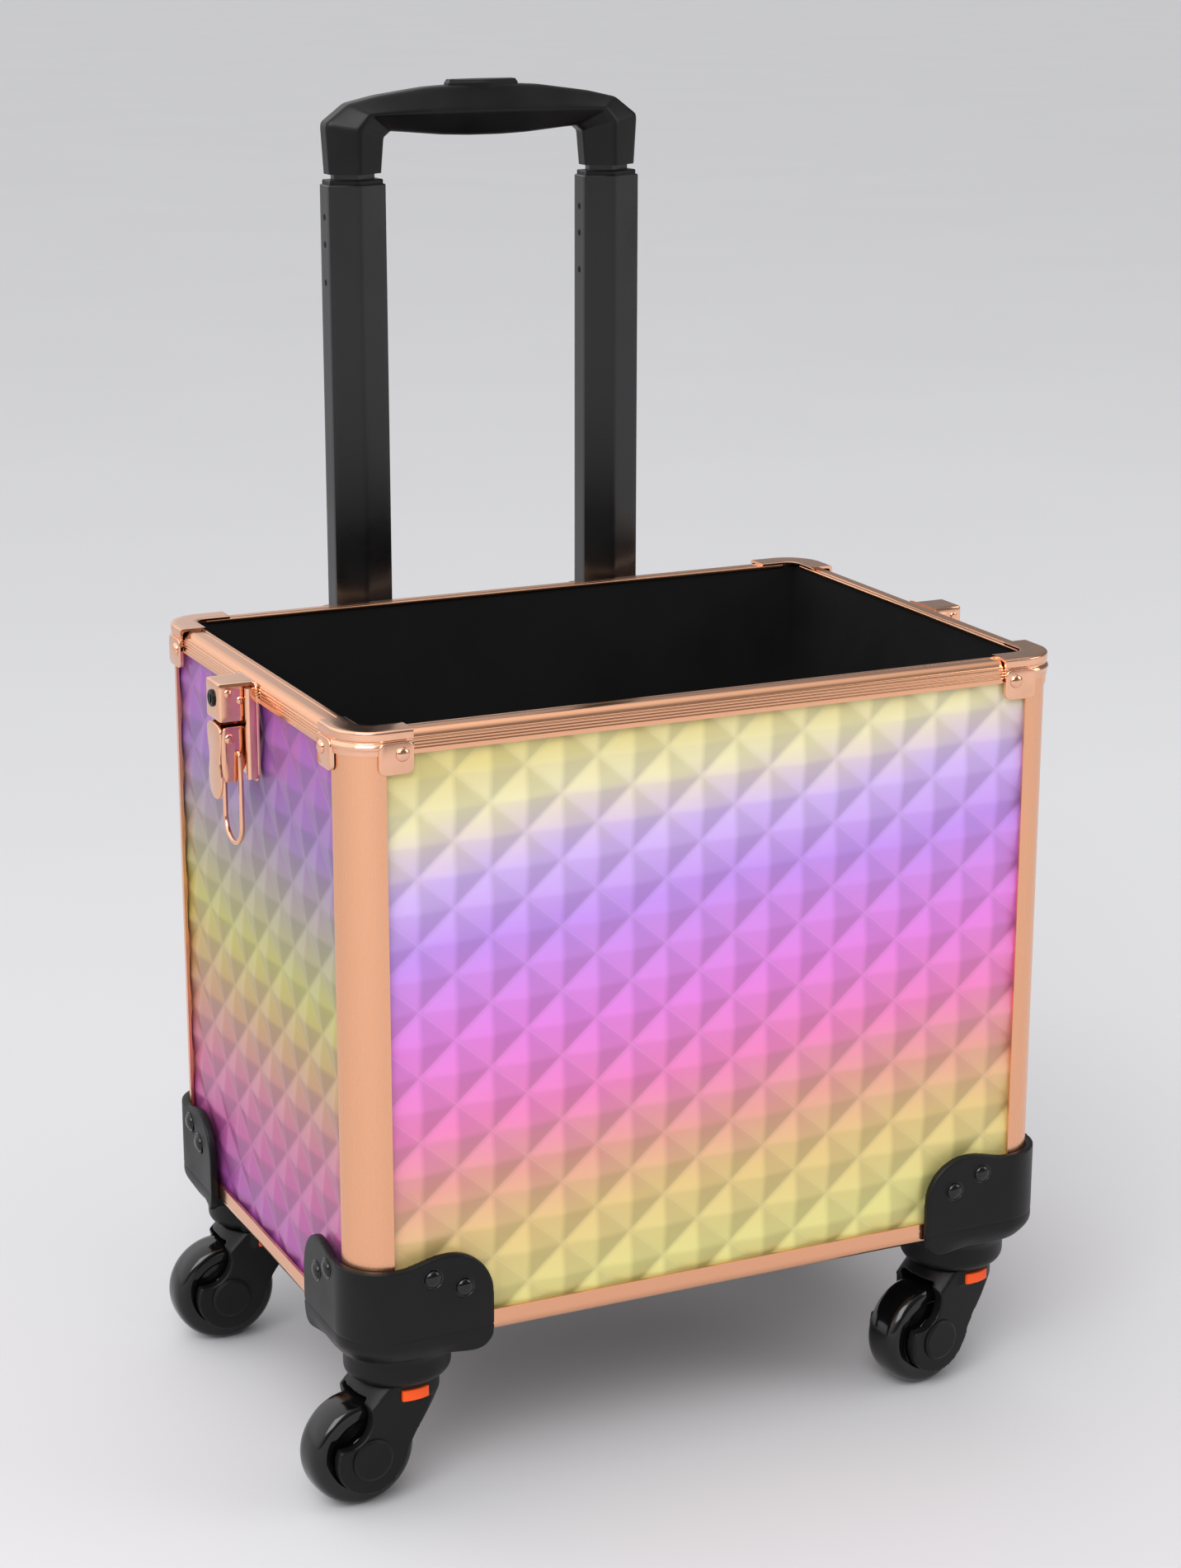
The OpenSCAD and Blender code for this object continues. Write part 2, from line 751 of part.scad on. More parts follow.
// Bushes in the middle tubes' mouths, bored for the inner tubes
module middle_collars() {
    color(satin_black) stand() both_tubes() translate([0, 0, tube_top]) difference() {
        union() {
            translate([0, 0, -collar_plug]) linear_extrude(collar_plug)
                polygon(grown(tube_w, tube_d, tube_side, -tube_wall));
            linear_extrude(collar_h) polygon(grown(tube_w, tube_d, tube_side, -collar_step));
        }
        translate([0, 0, -collar_plug - cut]) linear_extrude(collar_plug + collar_h + 2 * cut)
            polygon(grown(inner_w, inner_d, inner_side, slide_gap));
    }
}

// Inner tubes, each with a guide shoe at its lower end
module inner_tubes() {
    shoe_h = 10;
    color(satin_black) stand() both_tubes() translate([0, 0, grip_z - inner_len]) {
        hollow_bar(inner_w, inner_d, inner_side, 0, -tube_wall, inner_len);
        linear_extrude(shoe_h) difference() {
            polygon(grown(tube_w, tube_d, tube_side, -tube_wall - slide_gap));
            polygon(hexagon(inner_w, inner_d, inner_side));
        }
    }
}

// ---------- grip ----------

grip_belly = 24.7;      // height of the grip's middle between its outer and inner faces

// Stations along the left half of the grip: outer point, inner point, in x and height
GRIP_HALF = let (a = tube_spacing / 2, leg = grip_leg_w / 2)
    [[[-a - leg, 0], [-a + leg, 0]],
     [[-a - leg - 1.5, grip_h - 17], [-a + leg + 1.5, grip_h - 24]],
     [[-a - leg + 10.5, grip_h - 8], [-a + leg + 5, grip_h - 21.6]],
     [[-a * 0.82, grip_h - 4.6], [-a * 0.6, grip_h - 22.2]],
     [[-a * 0.45, grip_h - 1.2], [-a * 0.3, grip_h - 23.5]]];
GRIP_PATH = concat(GRIP_HALF, [[[0, grip_h], [0, grip_h - grip_belly]]],
    [for (k = [len(GRIP_HALF) - 1:-1:0])
        [for (p = GRIP_HALF[k]) [-p[0], p[1]]]]);

// Skins a row of rings of points into a closed solid
module loft(rings) {
    n = len(rings[0]);
    m = len(rings);
    polyhedron([for (ring = rings) each ring],
        concat([[for (i = [n - 1:-1:0]) i]],
               [for (k = [0:m - 2]) for (i = [0:n - 1])
                   let (a = k * n + i, b = k * n + (i + 1) % n)
                   each [[a, b, b + n], [a, b + n, a + n]]],
               [[for (i = [0:n - 1]) (m - 1) * n + i]]));
}

// Half of the grip between one rim, p, and the seam on its middle line
module grip_shell(rim) {
    rings = [for (s = GRIP_PATH)
        let (p = s[rim], m = (s[0] + s[1]) / 2, side = grip_side / 2, d = grip_d / 2,
             ring = [[p[0], -side, p[1]], [p[0], side, p[1]], [m[0], d, m[1]], [m[0], -d, m[1]]])
        rim == 0 ? ring : [for (i = [3:-1:0]) ring[i]]];
    translate([0, handle_y, grip_z]) loft(rings);
}

module button_pocket() {
    pocket = 12;
    translate([-button_w / 2 - fit, handle_y - button_d / 2 - fit, grip_z + grip_h - pocket])
        cube([button_w + 2 * fit, button_d + 2 * fit, 2 * pocket]);
}

module grip_outer_shell() {
    color(satin_black) stand() difference() {
        grip_shell(0);
        button_pocket();
    }
}

module grip_inner_shell() { color(satin_black) stand() grip_shell(1); }

module grip_button() {
    w = button_w / 2;
    sunk = 8;
    edge = 1;
    proud = 3.5;
    bevel = 2;
    color(satin_black) stand() translate([0, handle_y + button_d / 2, grip_z + grip_h])
        rotate([90, 0, 0]) linear_extrude(button_d)
            polygon([[-w, -sunk], [w, -sunk], [w, edge], [w - bevel, proud],
                     [bevel - w, proud], [-w, edge]]);
}

// ---------- latches ----------

// Heads of the pins through the lock box: distance out and below the latch's top
BOX_PINS = [[12, 5], [8, 12]];
box_pin_d = 3.6;
box_pin_h = 0.8;

module latch_base(right) {
    half = latch_w / 2;
    ear_y = half - latch_t - fit - ear_t / 2;
    flange = 6;
    edge_r = 2;
    color(polished_rose) stand() at_latch(right) {
        difference() {
            union() {
                // base plate with two low flanges
                translate([0, 0, -latch_top]) rotate([90, 0, 90]) linear_extrude(latch_t)
                    tab_outline(tray_w, latch_h, 3);
                for (s = [-1, 1])
                    translate([flange / 2, s * (tray_w - latch_t) / 2, -latch_top - (latch_h - 3) / 2])
                        cube([flange, latch_t, latch_h - 3], center = true);
                // lock box, rounded along its upper outer edge
                translate([0, half, -latch_top]) rotate([90, 0, 0]) linear_extrude(latch_w) {
                    translate([0, -lock_box_h]) square([latch_reach, lock_box_h - edge_r]);
                    translate([0, -edge_r]) square([latch_reach - edge_r, edge_r]);
                    translate([latch_reach - edge_r, -edge_r]) circle(edge_r);
                }
                // pins through the lock box's sides
                for (place = BOX_PINS) for (flip = [0, 1]) mirror([0, flip, 0])
                    translate([place[0], -half, -latch_top - place[1]])
                        rotate([90, 0, 0]) dome(box_pin_d, box_pin_h);
                // ears for the lever
                for (s = [-1, 1]) translate([0, s * ear_y, -lever_pivot[1]])
                    rotate([90, 0, 0]) linear_extrude(ear_t, center = true) {
                        translate([0, -ear_r]) square([lever_pivot[0], 2 * ear_r]);
                        translate([lever_pivot[0], 0]) circle(ear_r);
                    }
            }
            translate([latch_reach - key_len, 0, -latch_top - key_drop]) rotate([0, 90, 0])
                cylinder(h = key_len + cut, r = key_d / 2 + running);
        }
        // pivot pin with its two heads
        translate([lever_pivot[0], 0, -lever_pivot[1]]) rotate([90, 0, 0]) {
            cylinder(h = latch_w + 2 * running, d = pin_d, center = true);
            for (flip = [0, 1]) mirror([0, 0, flip])
                translate([0, 0, half + running]) cylinder(h = pin_head_h - running, d = pin_d + 2);
        }
    }
}

module key_cylinder(right) {
    proud = 0.5;
    len = key_len - fit;
    slot = [2, 1.4, key_d * 0.6];
    color(gloss_black) stand() at_latch(right)
        translate([latch_reach - len, 0, -latch_top - key_drop]) difference() {
            rotate([0, 90, 0]) cylinder(h = len + proud, d = key_d);
            translate([len + proud - slot[0], -slot[1] / 2, -slot[2] / 2])
                cube([slot[0] + cut, slot[1], slot[2]]);
        }
}

// Channel lever with rounded upper and lower edges and a leaf-shaped finger tab
module latch_lever(right) {
    half = latch_w / 2;
    h = latch_top + latch_h - lever_top;
    foot_r = 6;
    tab_r = latch_w * 0.6;
    color(polished_rose) stand() at_latch(right) difference() {
        union() {
            translate([0, 0, -lever_top]) intersection() {
                rotate([90, 0, 0]) linear_extrude(latch_w, center = true) {
                    translate([lever_back, foot_r - h])
                        square([latch_reach - lever_round - lever_back, h - foot_r]);
                    translate([lever_back + foot_r, -h])
                        square([latch_reach - foot_r - lever_back, h - lever_round]);
                    translate([lever_back + foot_r, foot_r - h]) circle(foot_r);
                    translate([latch_reach - lever_round, -lever_round]) circle(lever_round);
                }
                difference() {
                    translate([0, -half, -h]) cube([latch_reach, latch_w, h]);
                    translate([-cut, -half + latch_t, -h - cut])
                        cube([latch_reach - latch_t + cut, latch_w - 2 * latch_t, h + 2 * cut]);
                }
            }
            translate([latch_reach - latch_t, 0, -lever_top - h])
                rotate([90, 0, 90]) linear_extrude(latch_t) intersection() {
                    translate([0, tab_r - tab_len]) circle(tab_r);
                    translate([-half, -tab_len]) square([latch_w, tab_len + cut]);
                }
        }
        for (hole = [[lever_pivot, pin_d], [bail_pivot, bail_wire_d]])
            translate([hole[0][0], 0, -hole[0][1]]) rotate([90, 0, 0])
                cylinder(h = latch_w + 2 * cut, r = hole[1] / 2 + running, center = true);
    }
}

// Wire loop whose bent ends turn in the lever's side walls
module latch_bail(right) {
    r = bail_wire_d / 2;
    y = latch_w / 2 + bail_gap + r;
    bend = 6;
    end = latch_w / 2 - latch_t;
    color(polished_rose) stand() at_latch(right) translate([bail_pivot[0], 0, -bail_pivot[1]]) {
        for (flip = [0, 1]) mirror([0, flip, 0]) {
            translate([0, end, 0]) rotate([-90, 0, 0]) cylinder(h = y - end, r = r);
            translate([0, y, 0]) sphere(r);
            translate([0, y, -bail_len + bend]) cylinder(h = bail_len - bend, r = r);
            translate([0, y - bend, -bail_len + bend]) rotate([90, 0, 90]) rotate([0, 0, -90])
                rotate_extrude(angle = 90) translate([bend, 0]) circle(r);
        }
        translate([0, 0, -bail_len]) rotate([90, 0, 0]) cylinder(h = 2 * (y - bend), r = r, center = true);
    }
}

// ---------- pieces ----------

base_board();
lining_tray();
panel(SIDES[0]);  // front_panel
panel(SIDES[2]);  // back_panel
panel(SIDES[3]);  // left_panel
panel(SIDES[1]);  // right_panel
top_rail(SIDES[0]);  // front_top_rail
top_rail(SIDES[2]);  // back_top_rail
top_rail(SIDES[3]);  // left_top_rail
top_rail(SIDES[1]);  // right_top_rail
bottom_rail(SIDES[0]);  // front_bottom_rail
bottom_rail(SIDES[2]);  // back_bottom_rail
bottom_rail(SIDES[3]);  // left_bottom_rail
bottom_rail(SIDES[1]);  // right_bottom_rail
column(CORNERS[0]);  // front_left_column
column(CORNERS[1]);  // front_right_column
column(CORNERS[2]);  // back_left_column
column(CORNERS[3]);  // back_right_column
top_cap(CORNERS[0]);  // front_left_cap
top_cap(CORNERS[1]);  // front_right_cap
top_cap(CORNERS[2]);  // back_left_cap
top_cap(CORNERS[3]);  // back_right_cap
cap_rivets();
bracket(CORNERS[0]);  // front_left_bracket
bracket(CORNERS[1]);  // front_right_bracket
bracket(CORNERS[2]);  // back_left_bracket
bracket(CORNERS[3]);  // back_right_bracket
bracket_rivets();
fork(CORNERS[0]);  // front_left_fork
fork(CORNERS[1]);  // front_right_fork
fork(CORNERS[2]);  // back_left_fork
fork(CORNERS[3]);  // back_right_fork
axle(CORNERS[0]);  // front_left_axle
axle(CORNERS[1]);  // front_right_axle
axle(CORNERS[2]);  // back_left_axle
axle(CORNERS[3]);  // back_right_axle
wheel(CORNERS[0]);  // front_left_wheel
wheel(CORNERS[1]);  // front_right_wheel
wheel(CORNERS[2]);  // back_left_wheel
wheel(CORNERS[3]);  // back_right_wheel
release(CORNERS[0]);  // front_left_release
release(CORNERS[1]);  // front_right_release
release(CORNERS[2]);  // back_left_release
release(CORNERS[3]);  // back_right_release
handle_sleeves();
sleeve_plates();
middle_tubes();
middle_collars();
inner_tubes();
grip_outer_shell();
grip_inner_shell();
grip_button();
latch_base(false);  // left_latch_base
key_cylinder(false);  // left_key_cylinder
latch_lever(false);  // left_latch_lever
latch_bail(false);  // left_latch_bail
latch_base(true);  // right_latch_base
key_cylinder(true);  // right_key_cylinder
latch_lever(true);  // right_latch_lever
latch_bail(true);  // right_latch_bail
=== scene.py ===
"""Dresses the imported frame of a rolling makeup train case: film, metal, plastics, casters and grip."""

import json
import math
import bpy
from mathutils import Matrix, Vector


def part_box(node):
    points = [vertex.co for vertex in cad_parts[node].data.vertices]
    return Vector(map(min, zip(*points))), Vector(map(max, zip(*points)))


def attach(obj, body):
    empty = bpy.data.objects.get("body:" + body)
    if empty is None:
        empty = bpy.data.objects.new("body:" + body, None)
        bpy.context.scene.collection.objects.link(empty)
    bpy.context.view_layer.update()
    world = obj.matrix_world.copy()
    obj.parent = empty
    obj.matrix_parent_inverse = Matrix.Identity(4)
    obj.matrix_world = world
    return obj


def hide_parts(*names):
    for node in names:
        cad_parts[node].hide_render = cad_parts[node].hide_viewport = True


bl_info = {
    "name": "Train Case Dressing",
    "version": (1, 0, 0),
    "blender": (4, 5, 0),
    "location": "View3D > Sidebar > Train Case",
    "description": "Builds the visible pieces and finishes of a rolling makeup train case",
    "category": "Object",
}

import bmesh
import bpy
import numpy as np
from mathutils import Matrix, Vector

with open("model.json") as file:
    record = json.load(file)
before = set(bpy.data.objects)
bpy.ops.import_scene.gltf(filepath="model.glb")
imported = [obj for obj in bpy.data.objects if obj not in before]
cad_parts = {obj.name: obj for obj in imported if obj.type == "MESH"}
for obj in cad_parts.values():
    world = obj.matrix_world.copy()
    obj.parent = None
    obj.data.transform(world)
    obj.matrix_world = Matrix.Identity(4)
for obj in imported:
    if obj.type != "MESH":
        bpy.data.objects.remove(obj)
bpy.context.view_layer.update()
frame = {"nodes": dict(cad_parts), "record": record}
MM = 0.001

# ---------- places read from the frame ----------

LEFT_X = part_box("left_bottom_rail")[0].x
RIGHT_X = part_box("right_bottom_rail")[1].x
FRONT_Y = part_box("front_bottom_rail")[0].y
BACK_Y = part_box("back_bottom_rail")[1].y
FOOT_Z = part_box("front_bottom_rail")[0].z
RIM_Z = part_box("front_top_rail")[1].z
CASE_X = (LEFT_X + RIGHT_X) / 2
CASE_Y = (FRONT_Y + BACK_Y) / 2

# Each side: point in the middle of its outer face, unit vector along it, unit vector inward
SIDES = {
    "front": ((CASE_X, FRONT_Y), (1, 0), (0, 1)),
    "back": ((CASE_X, BACK_Y), (-1, 0), (0, -1)),
    "left": ((LEFT_X, CASE_Y), (0, -1), (1, 0)),
    "right": ((RIGHT_X, CASE_Y), (0, 1), (-1, 0)),
}
# Radius of the case's upright corners in mm
CORNER_R = 18
# Each corner: signs of x and y
CORNERS = {"front_left": (-1, -1), "front_right": (1, -1), "back_left": (-1, 1), "back_right": (1, 1)}


# ---------- sizes and colours a user would change ----------

def number(name, description, value, low=0, high=1000):
    """A number property; lengths are stored in millimetres."""
    return bpy.props.FloatProperty(name=name, description=description, default=value, min=low, max=high)


def tint(name, description, value):
    """A colour property given as sRGB hex."""
    return bpy.props.StringProperty(name=name, description=description, default=value)


class FilmSettings(bpy.types.PropertyGroup):
    """Embossed film on the four panels."""

    cell_w: number("Cell width", "Half the width of a diamond in mm", 17.0, 12, 24)
    cell_h: number("Cell height", "Half the height of a diamond in mm", 15.1, 11, 22)
    relief: number("Relief", "Height of the pyramids in mm", 1.8, 1, 2.4)
    crease: number("Crease", "Softness of the folds in mm", 0.25, 0.1, 2)
    parts: bpy.props.IntProperty(name="Mesh parts", description="Grid steps across half a diamond",
                                 default=12, min=4)
    facet_shift: number("Facet shift", "How far a tilted facet moves the colour bands in mm", 1.5, 0, 60)
    climb: number("Climb", "Rise of the colour bands along a long side", 0.09, -1, 1)


class MetalSettings(bpy.types.PropertyGroup):
    """Rose gold frame, corners and latches."""

    anodised: tint("Anodised", "Colour of the brushed extrusions", "#F2B48E")
    polished: tint("Polished", "Colour of the polished fittings", "#F6BE9E")
    grain: number("Brush grain", "Width of a brush streak in mm", 0.25, 0.1, 2)


class PlasticSettings(bpy.types.PropertyGroup):
    """Black mouldings and the orange tab."""

    satin: tint("Satin black", "Colour of brackets, forks and grip", "#0A0A0B")
    tube: tint("Tube black", "Colour of the lacquered tubes", "#040405")
    wheel: tint("Wheel black", "Colour of the glossy wheels", "#050506")
    release: tint("Release orange", "Colour of the casters' push tabs", "#F0561C")
    lining: tint("Lining", "Colour of the lining", "#060607")


class CasterSettings(bpy.types.PropertyGroup):
    """Moulded corner brackets and forks."""

    cell: number("Cell", "Cell of the moulded pieces' mesh in mm", 0.7, 0.4, 2)
    rounding: bpy.props.IntProperty(name="Rounding", description="Passes that round the edges",
                                    default=5, min=0)
    tuck_top: number("Tuck top", "Height from which a bracket's corner curves in, in mm", 3.0, 0, 20)
    side_lobe: number("Side lobe", "Length of a side lobe over the CAD lobe's", 0.84, 0.7, 1)
    seam_z: number("Seam height", "Parting line above the case's underside in mm", 6.0, 0, 20)


class GripSettings(bpy.types.PropertyGroup):
    """Grip and push button."""

    leg_w: number("Leg width", "Width of a grip leg at its lower end in mm", 27.0, 25, 30)
    side: number("Narrow face", "Width of the grip's outer and inner faces in mm", 9.0, 7, 11)
    lift: number("Lift", "Height of the grip's legs over the CAD shell's legs in mm", 4.1, 0, 6)
    spacing: number("Spacing", "Distance between the tubes' axes in mm", 136.0, 120, 170)
    housing_drop: number("Housing drop", "Depth of the housings' tops under the CAD's in mm", 2.5, 0, 6)
    tube_lift: number("Tube lift", "Height of the tubes' mouths over the CAD tubes in mm", 5.6, 0, 6)


class StageSettings(bpy.types.PropertyGroup):
    """Floor, lamps and camera."""

    floor: tint("Floor", "Colour of the floor", "#CFCFD2")
    sky: number("Sky", "Strength of the studio's even light", 0.85)
    key: number("Key", "Power of the key lamp in watts", 86)
    fill: number("Fill", "Power of the fill lamp in watts", 24)
    lens: number("Lens", "Focal length in mm", 72.7, 10)


SETTINGS = {"film": FilmSettings, "metal": MetalSettings, "plastic": PlasticSettings,
            "casters": CasterSettings, "grip": GripSettings, "stage": StageSettings}


# ---------- colour and node helpers ----------

def linear(code):
    """sRGB hex to a linear RGBA tuple."""
    channels = [int(code[i:i + 2], 16) / 255 for i in (1, 3, 5)]
    return tuple(c / 12.92 if c <= 0.04045 else ((c + 0.055) / 1.055) ** 2.4 for c in channels) + (1.0,)


def add(tree, kind, settings=None, values=None, links=None):
    """Adds a node: settings are its properties, values its sockets' constants, links its inputs."""
    node = tree.nodes.new(kind)
    for key, value in (settings or {}).items():
        setattr(node, key, value)
    for key, value in (values or {}).items():
        node.inputs[key].default_value = value
    for key, source in (links or {}).items():
        tree.links.new(source, node.inputs[key])
    return node


def shader(name, **constants):
    """A new material with its tree, its Principled shader, whose own sockets hold the constants, and
    the outputs of a texture coordinate node."""
    material = bpy.data.materials.new(name)
    material.use_nodes = True
    tree = material.node_tree
    body = tree.nodes["Principled BSDF"]
    for key, value in constants.items():
        body.inputs[key.replace("_", " ")].default_value = value
    return material, tree, body, add(tree, "ShaderNodeTexCoord").outputs


def feed(tree, body, **sources):
    """Links sources to the shader's sockets."""
    for key, source in sources.items():
        tree.links.new(source, body.inputs[key.replace("_", " ")])


def noise(tree, vector, scale, detail):
    """The value of a noise texture."""
    return add(tree, "ShaderNodeTexNoise", values={"Scale": scale, "Detail": detail},
               links={"Vector": vector}).outputs["Fac"]


def spread(tree, value, low, high, to_low=0.0, to_high=1.0, kind="LINEAR"):
    """A value carried from one range to another and held inside it."""
    return add(tree, "ShaderNodeMapRange", {"interpolation_type": kind},
               {1: low, 2: high, 3: to_low, 4: to_high}, {0: value}).outputs[0]


def dot(tree, vector, way):
    """How far a vector goes along a way."""
    return add(tree, "ShaderNodeVectorMath", {"operation": "DOT_PRODUCT"}, {1: way},
               {0: vector}).outputs["Value"]


def blended(tree, kind, a, b):
    """Two colours blended in full."""
    return add(tree, "ShaderNodeMix", {"data_type": "RGBA", "blend_type": kind}, {"Factor": 1.0},
               {6: a, 7: b}).outputs[2]


def bumped(tree, height, strength, distance):
    """A normal from a height."""
    return add(tree, "ShaderNodeBump", values={"Strength": strength, "Distance": distance},
               links={"Height": height}).outputs[0]


def ramp(tree, stops, factor):
    """The colour of a ramp; stops are (position, RGBA)."""
    node = add(tree, "ShaderNodeValToRGB", links={"Fac": factor})
    elements = node.color_ramp.elements
    while len(elements) < len(stops):
        elements.new(0.5)
    for element, (position, colour) in zip(elements, stops):
        element.position = position
        element.color = colour
    return node.outputs["Color"]


def grey(value):
    """A linear grey."""
    return (value, value, value, 1.0)


def greys(stops):
    """Ramp stops in linear greys from (position, value)."""
    return [(position, grey(value)) for position, value in stops]


def scaled(colour, factor, lift=0.0):
    """A colour with its channels times a factor, plus a lift."""
    return tuple(c * factor + lift for c in colour[:3]) + (1.0,)


# ---------- materials ----------

# The film's colours, from a panel's top to its bottom, for the two ways it is seen; the side panels' set has
# the hues the film shows at that angle and is painted darker, a painted shade and dark reflection for faces
# turned from the light
FRONT_BANDS = [
    (0.00, "#DBCC86"),  # straw
    (0.08, "#E4DCB0"),  # cream
    (0.19, "#CAAEE8"),  # lilac
    (0.30, "#BE8CE5"),  # violet
    (0.47, "#DC7CD5"),  # orchid
    (0.61, "#E67EB6"),  # pink
    (0.72, "#DD9A8C"),  # salmon
    (0.82, "#DBBD7E"),  # sand
    (0.95, "#D8D085"),  # straw
]
# Side panels: painted darker, for the shade and dark reflections on faces turned from the light
SHADED_SIDE_BANDS = [
    (0.00, "#9B4CA6"),  # plum
    (0.19, "#8764A1"),  # violet
    (0.36, "#9A9278"),  # grey
    (0.47, "#ACA657"),  # olive
    (0.60, "#B08C60"),  # bronze
    (0.75, "#B16482"),  # rose
    (0.86, "#AC528C"),  # magenta
    (1.00, "#94499A"),  # plum
]


# Steepness of a facet at full relief, and the painted shade of a facet by the way it turns to the light:
# painted paler towards it, painted darker away from it
FULL_TILT = 0.12
PAINTED_FACET_SHADES = greys([(0.0, 0.8), (0.5, 1.0), (1.0, 1.18)])
FACET_LIGHT_SPAN = 0.16
# Wander of the bands' height in metres, and the width of the painted highlight along a fold in half diamonds,
# from full to none
DRIFT = 0.016
FOLD_HIGHLIGHT = (0.005, 0.045)


def embossed_film(name, bands, along, shift, climb, light_side):
    """Iridescent PET film, hot pressed over a diamond die: a smooth pearly face whose colour runs
    in level bands and steps a little from facet to facet, with painted shade and paler paint by the way each
    facet turns to the light, and a painted highlight along the diagonal folds."""
    film = bpy.context.scene.film
    material, tree, body, place = shader(name, Metallic=0.2, Roughness=0.36, Coat_Weight=0.2,
                                         Coat_Roughness=0.22)
    point = add(tree, "ShaderNodeSeparateXYZ", links={0: place["Object"]}).outputs
    facing = add(tree, "ShaderNodeSeparateXYZ", links={0: place["Normal"]}).outputs

    def calculated(kind, values=None, links=None):
        return add(tree, "ShaderNodeMath", {"operation": kind}, values, links).outputs[0]

    tilt = calculated("MULTIPLY", {1: film.facet_shift * MM / FULL_TILT}, {0: facing["Z"]})
    cloud = noise(tree, place["Object"], 9.0, 1.0)
    drift = calculated("MULTIPLY_ADD", {1: DRIFT, 2: -DRIFT / 2}, {0: cloud})
    run = calculated("MULTIPLY", {1: -climb}, {0: point[along]})
    height = point["Z"]
    for move in (tilt, drift, run):
        height = calculated("ADD", links={0: height, 1: move})
    low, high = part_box("front_panel")
    colour = ramp(tree, [(p, linear(c)) for p, c in bands], spread(tree, height, high.z, low.z))
    # painted shade: facets turned towards the light are painted paler, those turned away are painted darker
    toward_light = dot(tree, place["Normal"], light_side)
    shade = ramp(tree, PAINTED_FACET_SHADES, spread(tree, toward_light, -FACET_LIGHT_SPAN, FACET_LIGHT_SPAN))
    facet_shaded = blended(tree, "MULTIPLY", colour, shade)
    # distance to the diagonal folds, counted in half diamonds
    u = calculated("MULTIPLY_ADD", {1: 1 / (film.cell_w * MM), 2: -shift[0] / film.cell_w}, {0: point[along]})
    v = calculated("MULTIPLY_ADD", {1: 1 / (film.cell_h * MM), 2: -(FOOT_Z / MM + shift[1]) / film.cell_h},
                   {0: point["Z"]})
    folds = [calculated("PINGPONG", {1: 1.0}, {0: calculated(kind, links={0: u, 1: v})})
             for kind in ("ADD", "SUBTRACT")]
    nearest = calculated("MINIMUM", links={0: folds[0], 1: folds[1]})
    # painted highlight: the colour is paled towards light grey along the diagonal folds
    fold_glint = spread(tree, nearest, *FOLD_HIGHLIGHT, 0.06, 0.0, "SMOOTHSTEP")
    fold_highlighted = add(tree, "ShaderNodeMix", {"data_type": "RGBA", "blend_type": "MIX"}, {7: grey(0.92)},
               {"Factor": fold_glint, 6: facet_shaded})
    # drawing lines of the pressed film, about 1.4 mm apart
    peel = bumped(tree, noise(tree, place["Object"], 700.0, 2.0), 0.06, 0.0004)
    feed(tree, body, Base_Color=fold_highlighted.outputs[2], Normal=peel)
    return material


def brushed_metal(name, code, axis, roughness=0.27):
    """Rose gold anodised aluminium, extruded and brushed: streaks run along the extrusion, 200 times as
    long as they are wide."""
    material, tree, body, place = shader(name, Metallic=1.0)
    across = 1.0 / (bpy.context.scene.metal.grain * MM)
    stretch = [across] * 3
    stretch["xyz".index(axis)] = across / 200
    grain = add(tree, "ShaderNodeMapping", values={"Scale": stretch}, links={0: place["Object"]})
    streak = noise(tree, grain.outputs[0], 1.0, 3.0)
    base = linear(code)
    feed(tree, body, Base_Color=ramp(tree, [(0.3, scaled(base, 0.985)), (0.65, base)], streak),
         Roughness=spread(tree, streak, 0.2, 0.8, roughness - 0.02, roughness + 0.02))
    return material


def polished_metal(name, code, roughness=0.1):
    """Plated pressed steel, polished: mirror-like with faint smudges."""
    material, tree, body, place = shader(name, Metallic=1.0)
    smudge = noise(tree, place["Object"], 120.0, 3.0)
    base = linear(code)
    feed(tree, body, Base_Color=ramp(tree, [(0.35, scaled(base, 0.92)), (0.7, base)], smudge),
         Roughness=spread(tree, smudge, 0.3, 0.8, roughness, roughness + 0.1))
    return material


def moulded_plastic(name, code, roughness=0.45, grain_mm=0.45, depth=0.15, sheen=0.25):
    """Injection moulded plastic with a fine spark-eroded grain that breaks up its sheen."""
    material, tree, body, place = shader(name, Specular_IOR_Level=sheen)
    wear = noise(tree, place["Object"], 28.0, 4.0)
    base = linear(code)
    feed(tree, body, Base_Color=ramp(tree, [(0.35, base), (0.75, scaled(base, 1.35, 0.002))], wear),
         Roughness=spread(tree, wear, 0.3, 0.7, roughness - 0.05, roughness + 0.07),
         Normal=bumped(tree, noise(tree, place["Object"], 1.0 / (grain_mm * MM), 2.0), depth, 0.0002))
    return material


def dress(nodes, material):
    """Gives carried-over CAD nodes one material."""
    for name in nodes:
        mesh = frame["nodes"][name].data
        mesh.materials.clear()
        mesh.materials.append(material)


# ---------- mesh helpers ----------

# Points closer than this are one, in metres
SAME_POINT = 2e-6
# Share of its triangles that a moulded piece keeps
KEEP = 0.3

# Below, a part is a tuple of its points, its quads and its end faces


def grid_faces(rows, cols, wrap_rows=False, wrap_cols=False):
    """Quads between neighbouring points of a rows by cols grid, as one index array."""
    r = np.arange(rows if wrap_rows else rows - 1)
    c = np.arange(cols if wrap_cols else cols - 1)
    r, c = np.meshgrid(r, c, indexing="ij")
    r1, c1 = (r + 1) % rows, (c + 1) % cols
    return np.stack([r * cols + c, r * cols + c1, r1 * cols + c1, r1 * cols + c], -1).reshape(-1, 4)


def linked(name, data):
    """A new object at the origin with this mesh, lamp or camera."""
    obj = bpy.data.objects.new(name, data)
    bpy.context.scene.collection.objects.link(obj)
    return obj


